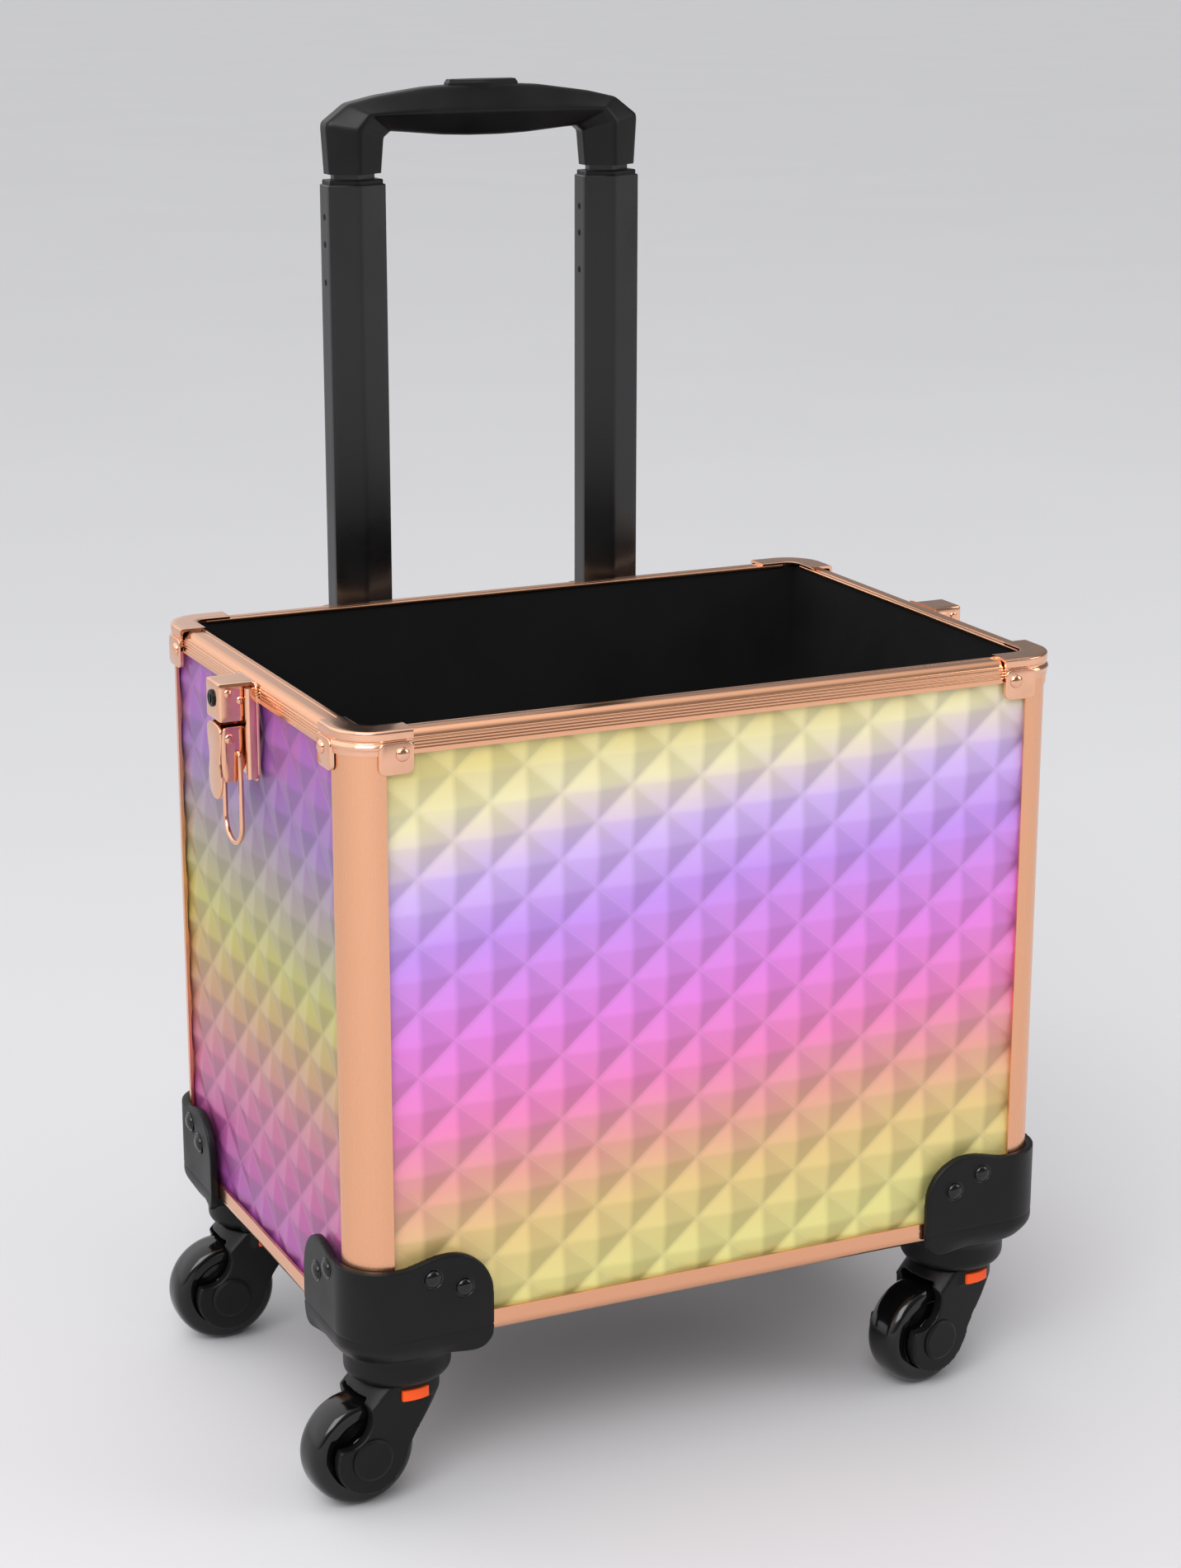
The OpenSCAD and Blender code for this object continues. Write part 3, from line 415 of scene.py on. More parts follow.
def declare(obj, body, replaced):
    """Lets an object ride a body and replace CAD nodes."""
    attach(obj, body)
    if replaced:
        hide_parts(*replaced)
    return obj


def closed_mesh(name, points, faces):
    """A mesh with its doubles merged and its faces turned outward."""
    mesh = bpy.data.meshes.new(name)
    mesh.from_pydata(points.tolist(), [], faces)
    shape = bmesh.new()
    shape.from_mesh(mesh)
    bmesh.ops.remove_doubles(shape, verts=shape.verts, dist=SAME_POINT)
    bmesh.ops.recalc_face_normals(shape, faces=shape.faces)
    shape.to_mesh(mesh)
    shape.free()
    return mesh


def solid(name, part, material, body, replaced=(), angle=35):
    """A piece from a part, smooth up to an angle in degrees, on its body."""
    points, quads, ends = part
    mesh = closed_mesh(name, points, quads.tolist() + [end.tolist() for end in ends])
    mesh.shade_smooth()
    mesh.set_sharp_from_angle(angle=math.radians(angle))
    mesh.materials.append(material)
    return declare(linked(name, mesh), body, replaced)


def applied(obj):
    """Puts the result of an object's modifiers into its mesh and drops the modifiers."""
    shown = obj.evaluated_get(bpy.context.evaluated_depsgraph_get())
    mesh = bpy.data.meshes.new_from_object(shown)
    obj.modifiers.clear()
    obj.data = mesh


def cast_copy(node, name, material, body, change):
    """A moulded piece over a CAD node: the solid is remeshed in even cells, its edges are rounded by
    averaging neighbours a number of times, and change moves its points as one array."""
    casters = bpy.context.scene.casters
    shape = bmesh.new()
    shape.from_mesh(frame["nodes"][node].data)
    bmesh.ops.remove_doubles(shape, verts=shape.verts, dist=SAME_POINT)
    mesh = bpy.data.meshes.new(name)
    shape.to_mesh(mesh)
    shape.free()
    obj = linked(name, mesh)
    cells = obj.modifiers.new("even cells", "REMESH")
    cells.mode = "VOXEL"
    cells.voxel_size = casters.cell * MM
    soft = obj.modifiers.new("rounded edges", "SMOOTH")
    soft.factor = 0.5
    soft.iterations = casters.rounding
    applied(obj)
    points = np.empty(len(obj.data.vertices) * 3)
    obj.data.vertices.foreach_get("co", points)
    obj.data.vertices.foreach_set("co", change(points.reshape(-1, 3)).ravel())
    obj.data.update()
    thin = obj.modifiers.new("fewer triangles", "DECIMATE")
    thin.ratio = KEEP
    applied(obj)
    obj.data.shade_smooth()
    obj.data.materials.clear()
    obj.data.materials.append(material)
    return declare(obj, body, [node])


def hat(distance, soft):
    """Weight of a station at a distance counted in stations: a straight tent of half width 1,
    averaged over 2 * soft, so that a line through the stations turns its corners in short arcs."""
    def area(u):
        u = np.clip(u, -1, 1)
        return u - np.sign(u) * u * u / 2
    return (area(distance + soft) - area(distance - soft)) / (2 * soft)


def rounded_line(points, per, soft):
    """An open line through control points with rounded corners, per samples a span. The ends are
    carried on straight by one more station each, so that the line starts and stops on them."""
    points = np.asarray(points, float)
    points = np.concatenate([[2 * points[0] - points[1]], points, [2 * points[-1] - points[-2]]])
    t = np.linspace(1, len(points) - 2, (len(points) - 3) * per + 1)
    return np.tensordot(hat(t[:, None] - np.arange(len(points)), soft), points, 1)


def rounded_loop(count, per, soft):
    """Weights that carry a closed ring of control points to per samples a side, corners rounded."""
    t = np.arange(count * per) / per
    return hat((t[:, None] - np.arange(count) + count / 2) % count - count / 2, soft)


def round_of(profile, centre, axis, steps, closed=False):
    """A part from a profile of (radius, height along the axis) turned once round an axis: the centre plus
    height * axis plus radius * (cos a * side + sin a * cross). The profile's ends lie on the axis or
    meet each other, or it is closed."""
    axis = Vector(axis).normalized()
    side = axis.orthogonal().normalized()
    axis, side, cross = (np.array(v) for v in (axis, side, axis.cross(side)))
    a = np.linspace(0, 2 * np.pi, steps, endpoint=False)[:, None, None]
    radius, height = profile[None, :, 0, None], profile[None, :, 1, None]
    points = np.array(centre) + height * axis + radius * (np.cos(a) * side + np.sin(a) * cross)
    return points.reshape(-1, 3), grid_faces(steps, len(profile), True, closed), []


def ring_of(points, soft, per=12):
    """A closed ring in metres through corners in mm, rounded."""
    return rounded_loop(len(points), per, soft) @ np.array(points, float) * MM


def hexagon(width, depth, side, soft=0.05, per=10):
    """A flattened hexagon in metres, its sizes in mm, with a rounded ridge at the front and the back."""
    w, d, h = width / 2, depth / 2, side / 2
    return ring_of([(w, -h), (w, h), (0, d), (-w, h), (-w, -h), (0, -d)], soft, per)


def inset(ring, amount):
    """An anticlockwise ring of 2D points moved inward along its own normals."""
    along = np.roll(ring, -1, 0) - np.roll(ring, 1, 0)
    normal = np.column_stack([along[:, 1], -along[:, 0]])
    return ring - amount * normal / np.maximum(np.linalg.norm(normal, axis=1, keepdims=True), 1e-9)


def lofted(rings, hollow=False):
    """A part through closed rings, an array of (ring, point, coordinate): closed at both ends, or, where
    hollow, up the outside and down the inside of a bar."""
    rows, cols = rings.shape[:2]
    ends = [] if hollow else [np.arange(cols), np.arange(cols) + (rows - 1) * cols]
    return rings.reshape(-1, 3), grid_faces(rows, cols, hollow, True), ends


def stacked(levels, hollow=False):
    """A part through rings of 2D points, levels being (ring, height)."""
    return lofted(np.stack([np.column_stack([ring, np.full(len(ring), z)]) for ring, z in levels]), hollow)


def slab(ring, low, high, bevel):
    """A plate with a rounded upper edge: the ring steps in by bevel * (1 - cos a) as it rises by sin a."""
    a = np.linspace(0, np.pi / 2, 4)
    return stacked([(ring, low)] + [(inset(ring, bevel * (1 - math.cos(t))), high - bevel * (1 - math.sin(t)))
                                    for t in a])


def placed(part, origin, a, b, t):
    """A part moved so that its three coordinates run along a, b and t from an origin."""
    points, quads, ends = part
    return np.array(origin, float) + points @ np.array([a, b, t], float), quads, ends


def merged(parts):
    """Several parts as one."""
    counts = np.cumsum([0] + [len(part[0]) for part in parts])
    return (np.concatenate([part[0] for part in parts]),
            np.concatenate([part[1] + n for part, n in zip(parts, counts)]),
            [end + n for part, n in zip(parts, counts) for end in part[2]])


def dome(radius, height, foot, count=9):
    """Profile of a rivet head with its foot sunk below its seat, sizes in mm."""
    a = np.linspace(0, np.pi / 2, count)
    return np.array([(0, height), *zip(radius * np.sin(a[1:]), height * np.cos(a[1:])), (radius, -foot)]) * MM


def wire(path, out, radius):
    """A round wire: circles of radius across the path, spanned by a fixed direction out of its
    plane and by the path's own normal."""
    along = np.gradient(path, axis=0)
    along /= np.linalg.norm(along, axis=1, keepdims=True)
    normal = np.cross(along, out)
    a = np.linspace(0, 2 * np.pi, 16, endpoint=False)
    rings = path[:, None] + radius * (np.cos(a)[None, :, None] * normal[:, None]
                                      + np.sin(a)[None, :, None] * np.array(out))
    return lofted(rings)


def corner_frame(corner):
    """Outer corner point at the rim and the unit directions inward along x and along y."""
    sx, sy = CORNERS[corner]
    return (RIGHT_X if sx > 0 else LEFT_X, BACK_Y if sy > 0 else FRONT_Y, RIM_Z), (-sx, 0, 0), (0, -sy, 0)


def joint(name):
    """Place and axis of a joint of the frame."""
    found = next(j for j in frame["record"]["behaviour"]["joints"] if j["name"] == name)
    return found.get("pos_m"), found["axis"]


def to_side(side, x, depth, z):
    """Points given along a side, inward from its face and in height, in the case's own frame."""
    (ox, oy), (ax, ay), (ix, iy) = SIDES[side]
    return np.stack([ox + ax * x + ix * depth, oy + ay * x + iy * depth, z], -1)


# ---------- embossed panels ----------

def film_height(u, v, soft):
    """Relief from 0 in the valleys to 1 at a peak. Ridges are level and upright lines, valleys the
    diagonals. Both absolute values and the maximum are rounded over the width soft."""
    def fold(x):
        x = x - 2 * np.floor(x / 2) - 1
        return np.sqrt(x * x + soft * soft)
    a, b = fold(u + v), fold(u - v)
    rounded = (a + b + np.sqrt((a - b) ** 2 + soft * soft)) / 2
    return 1 - rounded


def grid_lines(low, high, step, shift):
    """Coordinates at shift + k * step between two ends, and the ends themselves."""
    k = np.arange(math.ceil((low - shift) / step + 0.2), math.floor((high - shift) / step - 0.2) + 1)
    return np.concatenate([[low], shift + k * step, [high]])


# Depth of the film's peaks behind the case's outer faces, in mm
PANEL_SETBACK = 1.7


def make_panel(side, shift, material):
    """One panel: a height field over its length and height, with its edges turned back to a flat rear."""
    film = bpy.context.scene.film
    node = side + "_panel"
    low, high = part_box(node)
    along = 0 if side in ("front", "back") else 1
    half = (high[along] - low[along]) / 2
    x = grid_lines(-half, half, film.cell_w * MM / film.parts, shift[0] * MM)
    z = grid_lines(low.z, high.z, film.cell_h * MM / film.parts, FOOT_Z + shift[1] * MM)
    rows, cols = len(z), len(x)
    x, z = np.meshgrid(x, z)
    u = (x - shift[0] * MM) / (film.cell_w * MM)
    v = (z - FOOT_Z - shift[1] * MM) / (film.cell_h * MM)
    face = PANEL_SETBACK * MM
    back = face + high[1 - along] - low[1 - along]
    depth = face + film.relief * MM * (1 - film_height(u, v, film.crease / film.cell_w))
    front = to_side(side, x, depth, z)
    across, up = np.arange(cols), np.arange(rows) * cols
    ring = np.concatenate([across, up[1:] + cols - 1, up[-1] + across[-2::-1], up[-2:0:-1]])
    rear = to_side(side, x.ravel()[ring], np.full(len(ring), back), z.ravel()[ring])
    n, m = rows * cols, len(ring)
    following = (np.arange(m) + 1) % m
    walls = np.stack([ring, ring[following], n + following, n + np.arange(m)], -1)
    part = (np.concatenate([front.reshape(-1, 3), rear]), np.concatenate([grid_faces(rows, cols), walls]),
            [np.arange(n, n + m)])
    solid(side + "_film", part, material, "case", [node], 60)


# Place where two folds of the pattern cross, in mm: along the face from its middle, and above the
# case's underside
FRONT_FOLDS = (-7.3, 246.4)
SIDE_FOLDS = (9.7, 226.8)


class BuildPanels(bpy.types.Operator):
    """Four boards wrapped in embossed iridescent film"""

    bl_idname = "traincase.panels"
    bl_label = "Film panels"

    def execute(self, context):
        climb = context.scene.film.climb
        x, z = FRONT_FOLDS
        for side, way in (("front", 1), ("back", -1)):
            # the last argument is the way to the light, towards which facets are painted paler
            film = embossed_film("iridescent PET film, " + side, FRONT_BANDS, 0, FRONT_FOLDS, way * climb,
                                 (-0.95 * way, 0.0, 0.3))
            make_panel(side, (way * x, z), film)
        y, z = SIDE_FOLDS
        for side, way in (("left", 1), ("right", -1)):
            # side panels take the bands painted darker for shade, and their own way to the light
            film = embossed_film("iridescent PET film, " + side, SHADED_SIDE_BANDS, 1, (CASE_Y / MM - way * y, z),
                                 0.0, (0.0, 0.6 * way, 0.8))
            make_panel(side, SIDE_FOLDS, film)
        return {"FINISHED"}


# Section of a top corner cap: distance out of the case's faces and height from the rim, in mm
CAP_PROFILE = [(-11.7, 0), (-11.7, 1.2), (0.5, 1.2), (1.2, 0.5), (1.2, -2.8), (0.7, -3.2), (0.7, -4.0),
               (1.2, -4.5), (1.8, -5.4), (1.8, -6.4), (1.2, -7.3), (1.2, -9.5), (0.1, -9.5), (0.1, 0)]
# A cap's leg along a side, the corners of a tab on a face, its thickness, a rivet's place on it, and
# the rivet's radius, height and foot, all in mm
CAP_LEG = 30
TAB = [(14, -18), (CAP_LEG, -18), (CAP_LEG, -3.8), (14, -3.8)]
TAB_T = 2.0
TAB_RIVET = (24.7, -9.2)
TAB_HEAD = (3.2, 1.7, 0.5)


def pressed_cap(corner):
    """A top corner cap: its section swept round the corner, P(s) + e * n(s), with a tab on each face."""
    origin, ix, iy = corner_frame(corner)
    radius, leg = CORNER_R * MM, CAP_LEG * MM
    a = np.linspace(-np.pi / 2, -np.pi, 25)
    arc = np.column_stack([radius + radius * np.cos(a), radius + radius * np.sin(a)])
    line = np.linspace(leg, radius, 4)[:-1, None]
    path = np.concatenate([line * (1, 0), arc, line[::-1] * (0, 1)])
    normal = np.concatenate([np.tile((0.0, -1.0), (3, 1)), np.column_stack([np.cos(a), np.sin(a)]),
                             np.tile((-1.0, 0.0), (3, 1))])
    section = ring_of(CAP_PROFILE, 0.16, 5)
    flat = path[:, None] + section[None, :, 0, None] * normal[:, None]
    sweep = lofted(np.dstack([flat, np.tile(section[:, 1], (len(flat), 1))]))
    head = round_of(dome(*TAB_HEAD), np.array([*TAB_RIVET, TAB_T]) * MM, (0, 0, 1), 28)
    tab = merged([slab(ring_of(TAB, 0.24), 0.05 * MM, TAB_T * MM, 0.5 * MM), head])
    up = (0, 0, 1)
    return merged([placed(sweep, origin, ix, iy, up), placed(tab, origin, ix, up, [-c for c in iy]),
                   placed(tab, origin, iy, up, [-c for c in ix])])


# A top rail in mm: shoulder radius, depth of its rim, height of its face, wall, radius of the rim's edge,
# the groove beside it (its distance from the rim's inner face and its depth), and the lining's pocket
# (its two faces and its lower end)
SHOULDER, RIM, FACE, WALL, LIP = 5.0, 11.7, 10.0, 1.4, 0.6
GROOVE = (2.6, 0.55)
POCKET = (7.8, 9.2, -13)
# Ribs: how many, the first one's place along the section, their pitch and their depth, in mm
RIBS, RIBS_FROM, RIB_PITCH, RIB_DEEP = 4, 2.0, 1.35, 0.26


def top_rail(side):
    """A top rail: its section (depth inward, height over the rim) along the side, closed all round.
    The outside runs up the face and round the shoulder of radius r; over RIBS pitches of its length s
    it is ribbed by -d * (1 - cos(2 pi (s - s0) / pitch)) / 2 along its normal."""
    r, (groove_in, groove_deep) = SHOULDER, GROOVE
    quarter = np.linspace(np.pi / 2, 0, 9)
    s = np.linspace(0, FACE - r + r * np.pi / 2, 96)
    a = np.clip((s - (FACE - r)) / r, 0, np.pi / 2)
    outside = np.column_stack([r - r * np.cos(a), np.where(a > 0, r * np.sin(a) - r, s - FACE)])
    normal = np.column_stack([-np.cos(a), np.sin(a)])
    ribbed = (s > RIBS_FROM) & (s < RIBS_FROM + RIBS * RIB_PITCH)
    wave = (1 - np.cos(2 * np.pi * (s - RIBS_FROM) / RIB_PITCH)) / 2
    outside -= np.where(ribbed, RIB_DEEP * wave, 0)[:, None] * normal
    groove = np.column_stack([RIM - groove_in - LIP * np.cos(quarter[::-1] * 2),
                              -groove_deep * np.sin(quarter * 2)])
    edge = np.column_stack([RIM - LIP + LIP * np.cos(quarter), LIP * np.sin(quarter) - LIP])
    near, far, end = POCKET
    inside = [(RIM, -WALL), (far, -WALL), (far, end), (near, end), (near, -WALL), (r, -WALL)]
    hollow = np.column_stack([r - (r - WALL) * np.cos(quarter), (r - WALL) * np.sin(quarter) - r])
    section = np.concatenate([outside, groove, edge, inside, hollow[1:], [(WALL, -FACE)]]) * MM
    low, high = (np.array(corner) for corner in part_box(side + "_top_rail"))
    along, inward = (np.array([*way, 0.0]) for way in SIDES[side][1:])
    face_at = (low if inward.sum() > 0 else high) @ inward
    across = inward * (face_at + section[:, :1]) + np.array([0, 0, 1]) * (section[:, 1:] + RIM_Z)
    return lofted(np.stack([across + along * end for end in sorted([low @ along, high @ along])]))


class BuildFrame(bpy.types.Operator):
    """Brushed extrusions and polished corners of the case"""

    bl_idname = "traincase.frame"
    bl_label = "Metal frame"

    def execute(self, context):
        metal = context.scene.metal
        upright = brushed_metal("anodised aluminium, brushed upright", metal.anodised, "z")
        lengthwise = brushed_metal("anodised aluminium, brushed along x", metal.anodised, "x", 0.17)
        crosswise = brushed_metal("anodised aluminium, brushed along y", metal.anodised, "y", 0.17)
        polished = polished_metal("rose gold plated steel", metal.polished)
        dress([c + "_column" for c in CORNERS], upright)
        for side in SIDES:
            material = lengthwise if side in ("front", "back") else crosswise
            dress([side + "_bottom_rail"], material)
            solid(side + "_ribbed_rail", top_rail(side), material, "case", [side + "_top_rail"], angle=50)
        for corner in CORNERS:
            solid(corner + "_pressed_cap", pressed_cap(corner), polished, "case", [corner + "_cap"])
        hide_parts("cap_rivets")
        return {"FINISHED"}


class BuildLining(bpy.types.Operator):
    """Lining and floor board"""

    bl_idname = "traincase.lining"
    bl_label = "Lining"

    def execute(self, context):
        cloth = moulded_plastic("black EVA lining", context.scene.plastic.lining, 0.8, 0.9, 0.4)
        board = moulded_plastic("dark painted board", "#2E2823", 0.7, 0.8, 0.3)
        dress(["lining_tray"], cloth)
        dress(["base_board"], board)
        return {"FINISHED"}


# A bracket in mm: its swivel axis in from the case's faces, its wall outside them, its collar's radius,
# its foot under the case; a side lobe's start and thickness; where a lobe has its full face again and
# over what length; and the parting line's depth and width
SWIVEL_IN, CUP_WALL, COLLAR_R, CUP_FOOT = 29.5, 4, 25, -16
LOBE_FROM, LOBE_THICK, LOBE_FULL, LOBE_FADE = 22, 16, 57, 20
SEAM_DEEP, SEAM_WIDE = 0.35, 0.5


def tucked(corner):
    """Change for a bracket: round its corner the face curves in and flows into the collar. The
    distance from the swivel axis is held below R = face - (face - collar) * g(height), where g runs
    smoothly from 0 above the foot to 1 on the collar and fades towards the lobes' ends."""
    casters = bpy.context.scene.casters
    sx, sy = CORNERS[corner]
    edge = np.array([RIGHT_X if sx > 0 else LEFT_X, BACK_Y if sy > 0 else FRONT_Y])
    inward = np.array([-sx, -sy])
    axis, arc, wall, collar = SWIVEL_IN * MM, CORNER_R * MM, CUP_WALL * MM, COLLAR_R * MM
    top, foot, lobe = casters.tuck_top * MM, CUP_FOOT * MM, LOBE_FROM * MM

    def change(points):
        local = (points[:, :2] - edge) * inward
        on_side = (local[:, 0] < LOBE_THICK * MM) & (local[:, 1] > lobe)
        local[:, 1] = np.where(on_side, lobe + (local[:, 1] - lobe) * casters.side_lobe, local[:, 1])
        local -= axis
        radius = np.maximum(np.linalg.norm(local, axis=1), 1e-9)
        way = local / radius[:, None]
        # distance to the outer faces, y = -wall or x = -wall, and to the rounded corner between them
        face = (axis + wall) / np.maximum(-way.min(axis=1), 1e-3)
        centre = np.full(2, arc - axis)
        along = way @ centre
        gap = along ** 2 - centre @ centre + (arc + wall) ** 2
        bend = along + np.sqrt(np.maximum(gap, 0))
        rounded = np.all(way * bend[:, None] < centre, axis=1) & (gap > 0)
        face = np.where(rounded, bend, face)
        height = points[:, 2] - FOOT_Z
        g = np.clip((top - height) / (top - foot), 0, 1)
        g = g * g * (3 - 2 * g)
        near = np.clip((LOBE_FULL * MM - (local + axis).max(axis=1)) / (LOBE_FADE * MM), 0, 1)
        g = g * near * near * (3 - 2 * near)
        limit = face - (face - collar) * g
        seam = np.exp(-((height - casters.seam_z * MM) / (SEAM_WIDE * MM)) ** 2) * (face < radius + wall)
        front = (way.min(axis=1) < 0) & (height > foot)
        new = np.where(front, np.minimum(radius, limit), radius) - SEAM_DEEP * MM * seam
        moved = points.copy()
        moved[:, :2] = (way * new[:, None] + axis) * inward + edge
        return moved

    return change


# Room between the moving castings in mm: a stem, inside a radius, is drawn in to a share of its own
# radius, a crown keeps under its bracket, and a push tab has a gap round it, a space behind it and
# its travel
STEM_R, STEM_KEPT = 9, 0.8
CROWN_GAP, TAB_GAP, TAB_BEHIND, TAB_TRAVEL = 0.7, 0.3, 4, 2.1


def slimmed(corner):
    """Change for a fork: the stem is drawn in and the crown lowered a little, so that the averaged
    surfaces of fork and bracket keep clear of each other in every swivel position."""
    axis = np.array(joint(corner + "_caster_swivel")[0][:2])
    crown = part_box(corner + "_bracket")[0].z - CROWN_GAP * MM

    def change(points):
        out = points[:, :2] - axis
        stem = np.linalg.norm(out, axis=1, keepdims=True) < STEM_R * MM
        raised = points[:, 2:] > crown
        return np.hstack([axis + out * np.where(stem & raised, STEM_KEPT, 1.0),
                          np.where(raised & ~stem, crown, points[:, 2:])])

    return change


# Corners of a box as three binary digits, and its six faces
BOX_CORNERS = np.array([(i, j, k) for i in (0, 1) for j in (0, 1) for k in (0, 1)])
BOX_FACES = [(0, 1, 3, 2), (4, 6, 7, 5), (0, 4, 5, 1), (2, 3, 7, 6), (0, 2, 6, 4), (1, 5, 7, 3)]


def cut_pocket(casting, corner):
    """Cuts the room of a push tab, its gap and its travel out of a fork casting."""
    points = np.array([v.co for v in frame["nodes"][corner + "_release"].data.vertices])
    press = np.array(joint(corner + "_release_press")[1], float)
    axes = np.array([press, np.cross((0, 0, 1), press), (0, 0, 1)])
    along = points @ axes.T
    low, high = along.min(0) - TAB_GAP * MM, along.max(0) + TAB_GAP * MM
    low[0] -= TAB_BEHIND * MM
    high[0] += TAB_TRAVEL * MM
    cutter = linked("pocket", closed_mesh("pocket", np.where(BOX_CORNERS, high, low) @ axes, BOX_FACES))
    room = casting.modifiers.new("pocket", "BOOLEAN")
    room.operation = "DIFFERENCE"
    room.object = cutter
    applied(casting)
    bpy.data.objects.remove(cutter)
    casting.data.shade_smooth()
    casting.data.set_sharp_from_angle(angle=math.radians(50))


# Rivets of a bracket: distance from the case's corner along its front and its side, and height
# above the underside, in mm
RIVETS = [(34.5, 27.0, 33.4), (49.5, 40.0, 26.9)]


# A wheel in mm: half its width, its bore's radius, its side as (radius, depth), and its tread's
# rounding with the power of its curve
WHEEL_HALF, WHEEL_BORE = 10, 3.05
WHEEL_SIDE = [(WHEEL_BORE, 0), (9, 0), (9.4, 0.5), (17, 0.5), (17.6, 0.1), (20.6, 0)]
TREAD_ROUND, TREAD_POWER = 5.4, 2.6


def wheel_profile(radius):
    """Half section of a moulded wheel as (radius, height): hub ring, flat web, rim, and a tread that is
    a rounded square between the two side edges."""
    half, rounding, power = WHEEL_HALF * MM, TREAD_ROUND * MM, 2 / TREAD_POWER
    side = rounded_line([(r * MM, half - deep * MM) for r, deep in WHEEL_SIDE], 6, 0.22)
    a = np.linspace(np.pi / 2, -np.pi / 2, 27)
    tread = np.stack([radius - rounding + rounding * np.abs(np.cos(a)) ** power,
                      half * np.sign(np.sin(a)) * np.abs(np.sin(a)) ** power], -1)
    return np.concatenate([side, tread[1:-1], side[::-1] * (1, -1)])


# Profile of a bracket rivet's flange under its dome, in mm
RIVET_FLANGE = [(4.4, 0.1), (4.6, 0.3), (4.9, 0.25), (4.9, -0.6)]


def bracket_rivets():
    """The rivet heads of all brackets: two domes on each lobe."""
    head = np.concatenate([dome(4.0, 1.9, 0)[:-1] + (0, 0.1 * MM), np.array(RIVET_FLANGE) * MM])
    heads = []
    for corner in CORNERS:
        (ox, oy, _), ix, iy = corner_frame(corner)
        for front_s, side_s, z in RIVETS:
            for way, out, s in ((ix, iy, front_s), (iy, ix, side_s)):
                seat = Vector((ox, oy, FOOT_Z + z * MM)) + Vector(way) * s * MM - Vector(out) * CUP_WALL * MM
                heads.append(round_of(head, seat, -Vector(out), 28))
    return merged(heads)


class BuildCasters(bpy.types.Operator):
    """Corner brackets, forks, wheels, axles and release tabs"""

    bl_idname = "traincase.casters"
    bl_label = "Brackets and casters"

    def execute(self, context):
        plastic = context.scene.plastic
        satin = moulded_plastic("black nylon, satin", plastic.satin, 0.42)
        gloss = moulded_plastic("black polyurethane, glossy", plastic.wheel, 0.1, 2.0, 0.01, 0.5)
        orange = moulded_plastic("orange acetal", plastic.release, 0.4)
        knob = moulded_plastic("black rivet, glossy", plastic.wheel, 0.12, 2.0, 0.01, 0.5)
        solid("bracket_rivet_heads", bracket_rivets(), knob, "case", ["bracket_rivets"], angle=50)
        dress([c + "_axle" for c in CORNERS], satin)
        dress([c + "_release" for c in CORNERS], orange)
        for corner in CORNERS:
            cast_copy(corner + "_bracket", corner + "_corner_cup", satin, "case", tucked(corner))
            casting = cast_copy(corner + "_fork", corner + "_fork_casting", satin, corner + "_caster_fork",
                                slimmed(corner))
            cut_pocket(casting, corner)
            place, axis = joint(corner + "_wheel_spin")
            solid(corner + "_tyre", round_of(wheel_profile(place[2]), place, axis, 96, True), gloss,
                  corner + "_caster_wheel", [corner + "_wheel"])
        return {"FINISHED"}


def grip_surface():
    """The grip as a tensor surface: 12 rings of 6 control points from one foot to the other, each
    ring a flattened hexagon, with both directions rounded by the hat weights."""
    grip = bpy.context.scene.grip
    low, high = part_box("grip_outer_shell")
    h = (high.z - low.z) / MM - grip.lift
    a = grip.spacing / 2
    leg = grip.leg_w / 2
    # outer, ridge and inner point of each station of the left half, in x and height
    left = np.array([
        [(-a - leg, 0), (-a, 0), (-a + leg, 0)],
        [(-a - leg - 1.5, h - 17), (-a + 0.3, h - 20), (-a + leg + 1.5, h - 24.5)],
        [(-a - leg + 10.5, h - 8), (-a + 5.5, h - 13), (-a + leg + 5, h - 21.6)],
        [(-a * 0.82, h - 4.6), (-a * 0.71, h - 12.6), (-a * 0.6, h - 22.3)],
        [(-a * 0.45, h - 1.2), (-a * 0.375, h - 12.2), (-a * 0.33, h - 24.0)],
        [(-a * 0.14, h), (-a * 0.12, h - 12), (-a * 0.12, h - 24.6)]])
    path = np.concatenate([left, left[::-1] * (-1, 1)])
    d, s = (high.y - low.y) / 2 / MM, grip.side / 2
    ring = [(0, -s), (0, s), (1, d), (2, s), (2, -s), (1, -d)]
    control = np.stack([np.stack([path[:, k, 0], np.full(len(path), y), path[:, k, 1]], -1)
                        for k, y in ring], 1)
    rows = rounded_line(control.reshape(len(path), -1), 16, 0.12).reshape(-1, len(ring), 3)
    around = rounded_loop(len(ring), 14, 0.13)
    points = np.einsum("rkc,nk->rnc", rows, around) * MM
    return lofted(points + np.array([0, (low.y + high.y) / 2, low.z + grip.lift * MM]))


# Stop holes of a middle tube in mm: distance below its mouth, and profile of one
STOP_HOLES = [15.5, 28.6, 47]
HOLE = [(0, 0.12), (1.6, 0.12), (2.1, -0.05), (0, -0.3)]
# Hexagons of the handle in mm: width, depth and side
TUBE, MOUTH, NECK = (29.8, 20.4, 12.4), (21.9, 15.4, 5.4), (21.1, 14.6, 5.1)
TUBE_WALL = 1.6
# Around the tube in mm: the sleeve's outer and inner face and the collar, which stands inside the tube's face
SLEEVE, BORE, COLLAR = -2.6, -0.35, 1.3
# Heights in mm of a collar's foot, shoulder and top over the mouth, and of a neck's ends over the grip's foot
COLLAR_Z, NECK_Z = (-8, 1.8, 2.3), (-14, 8)
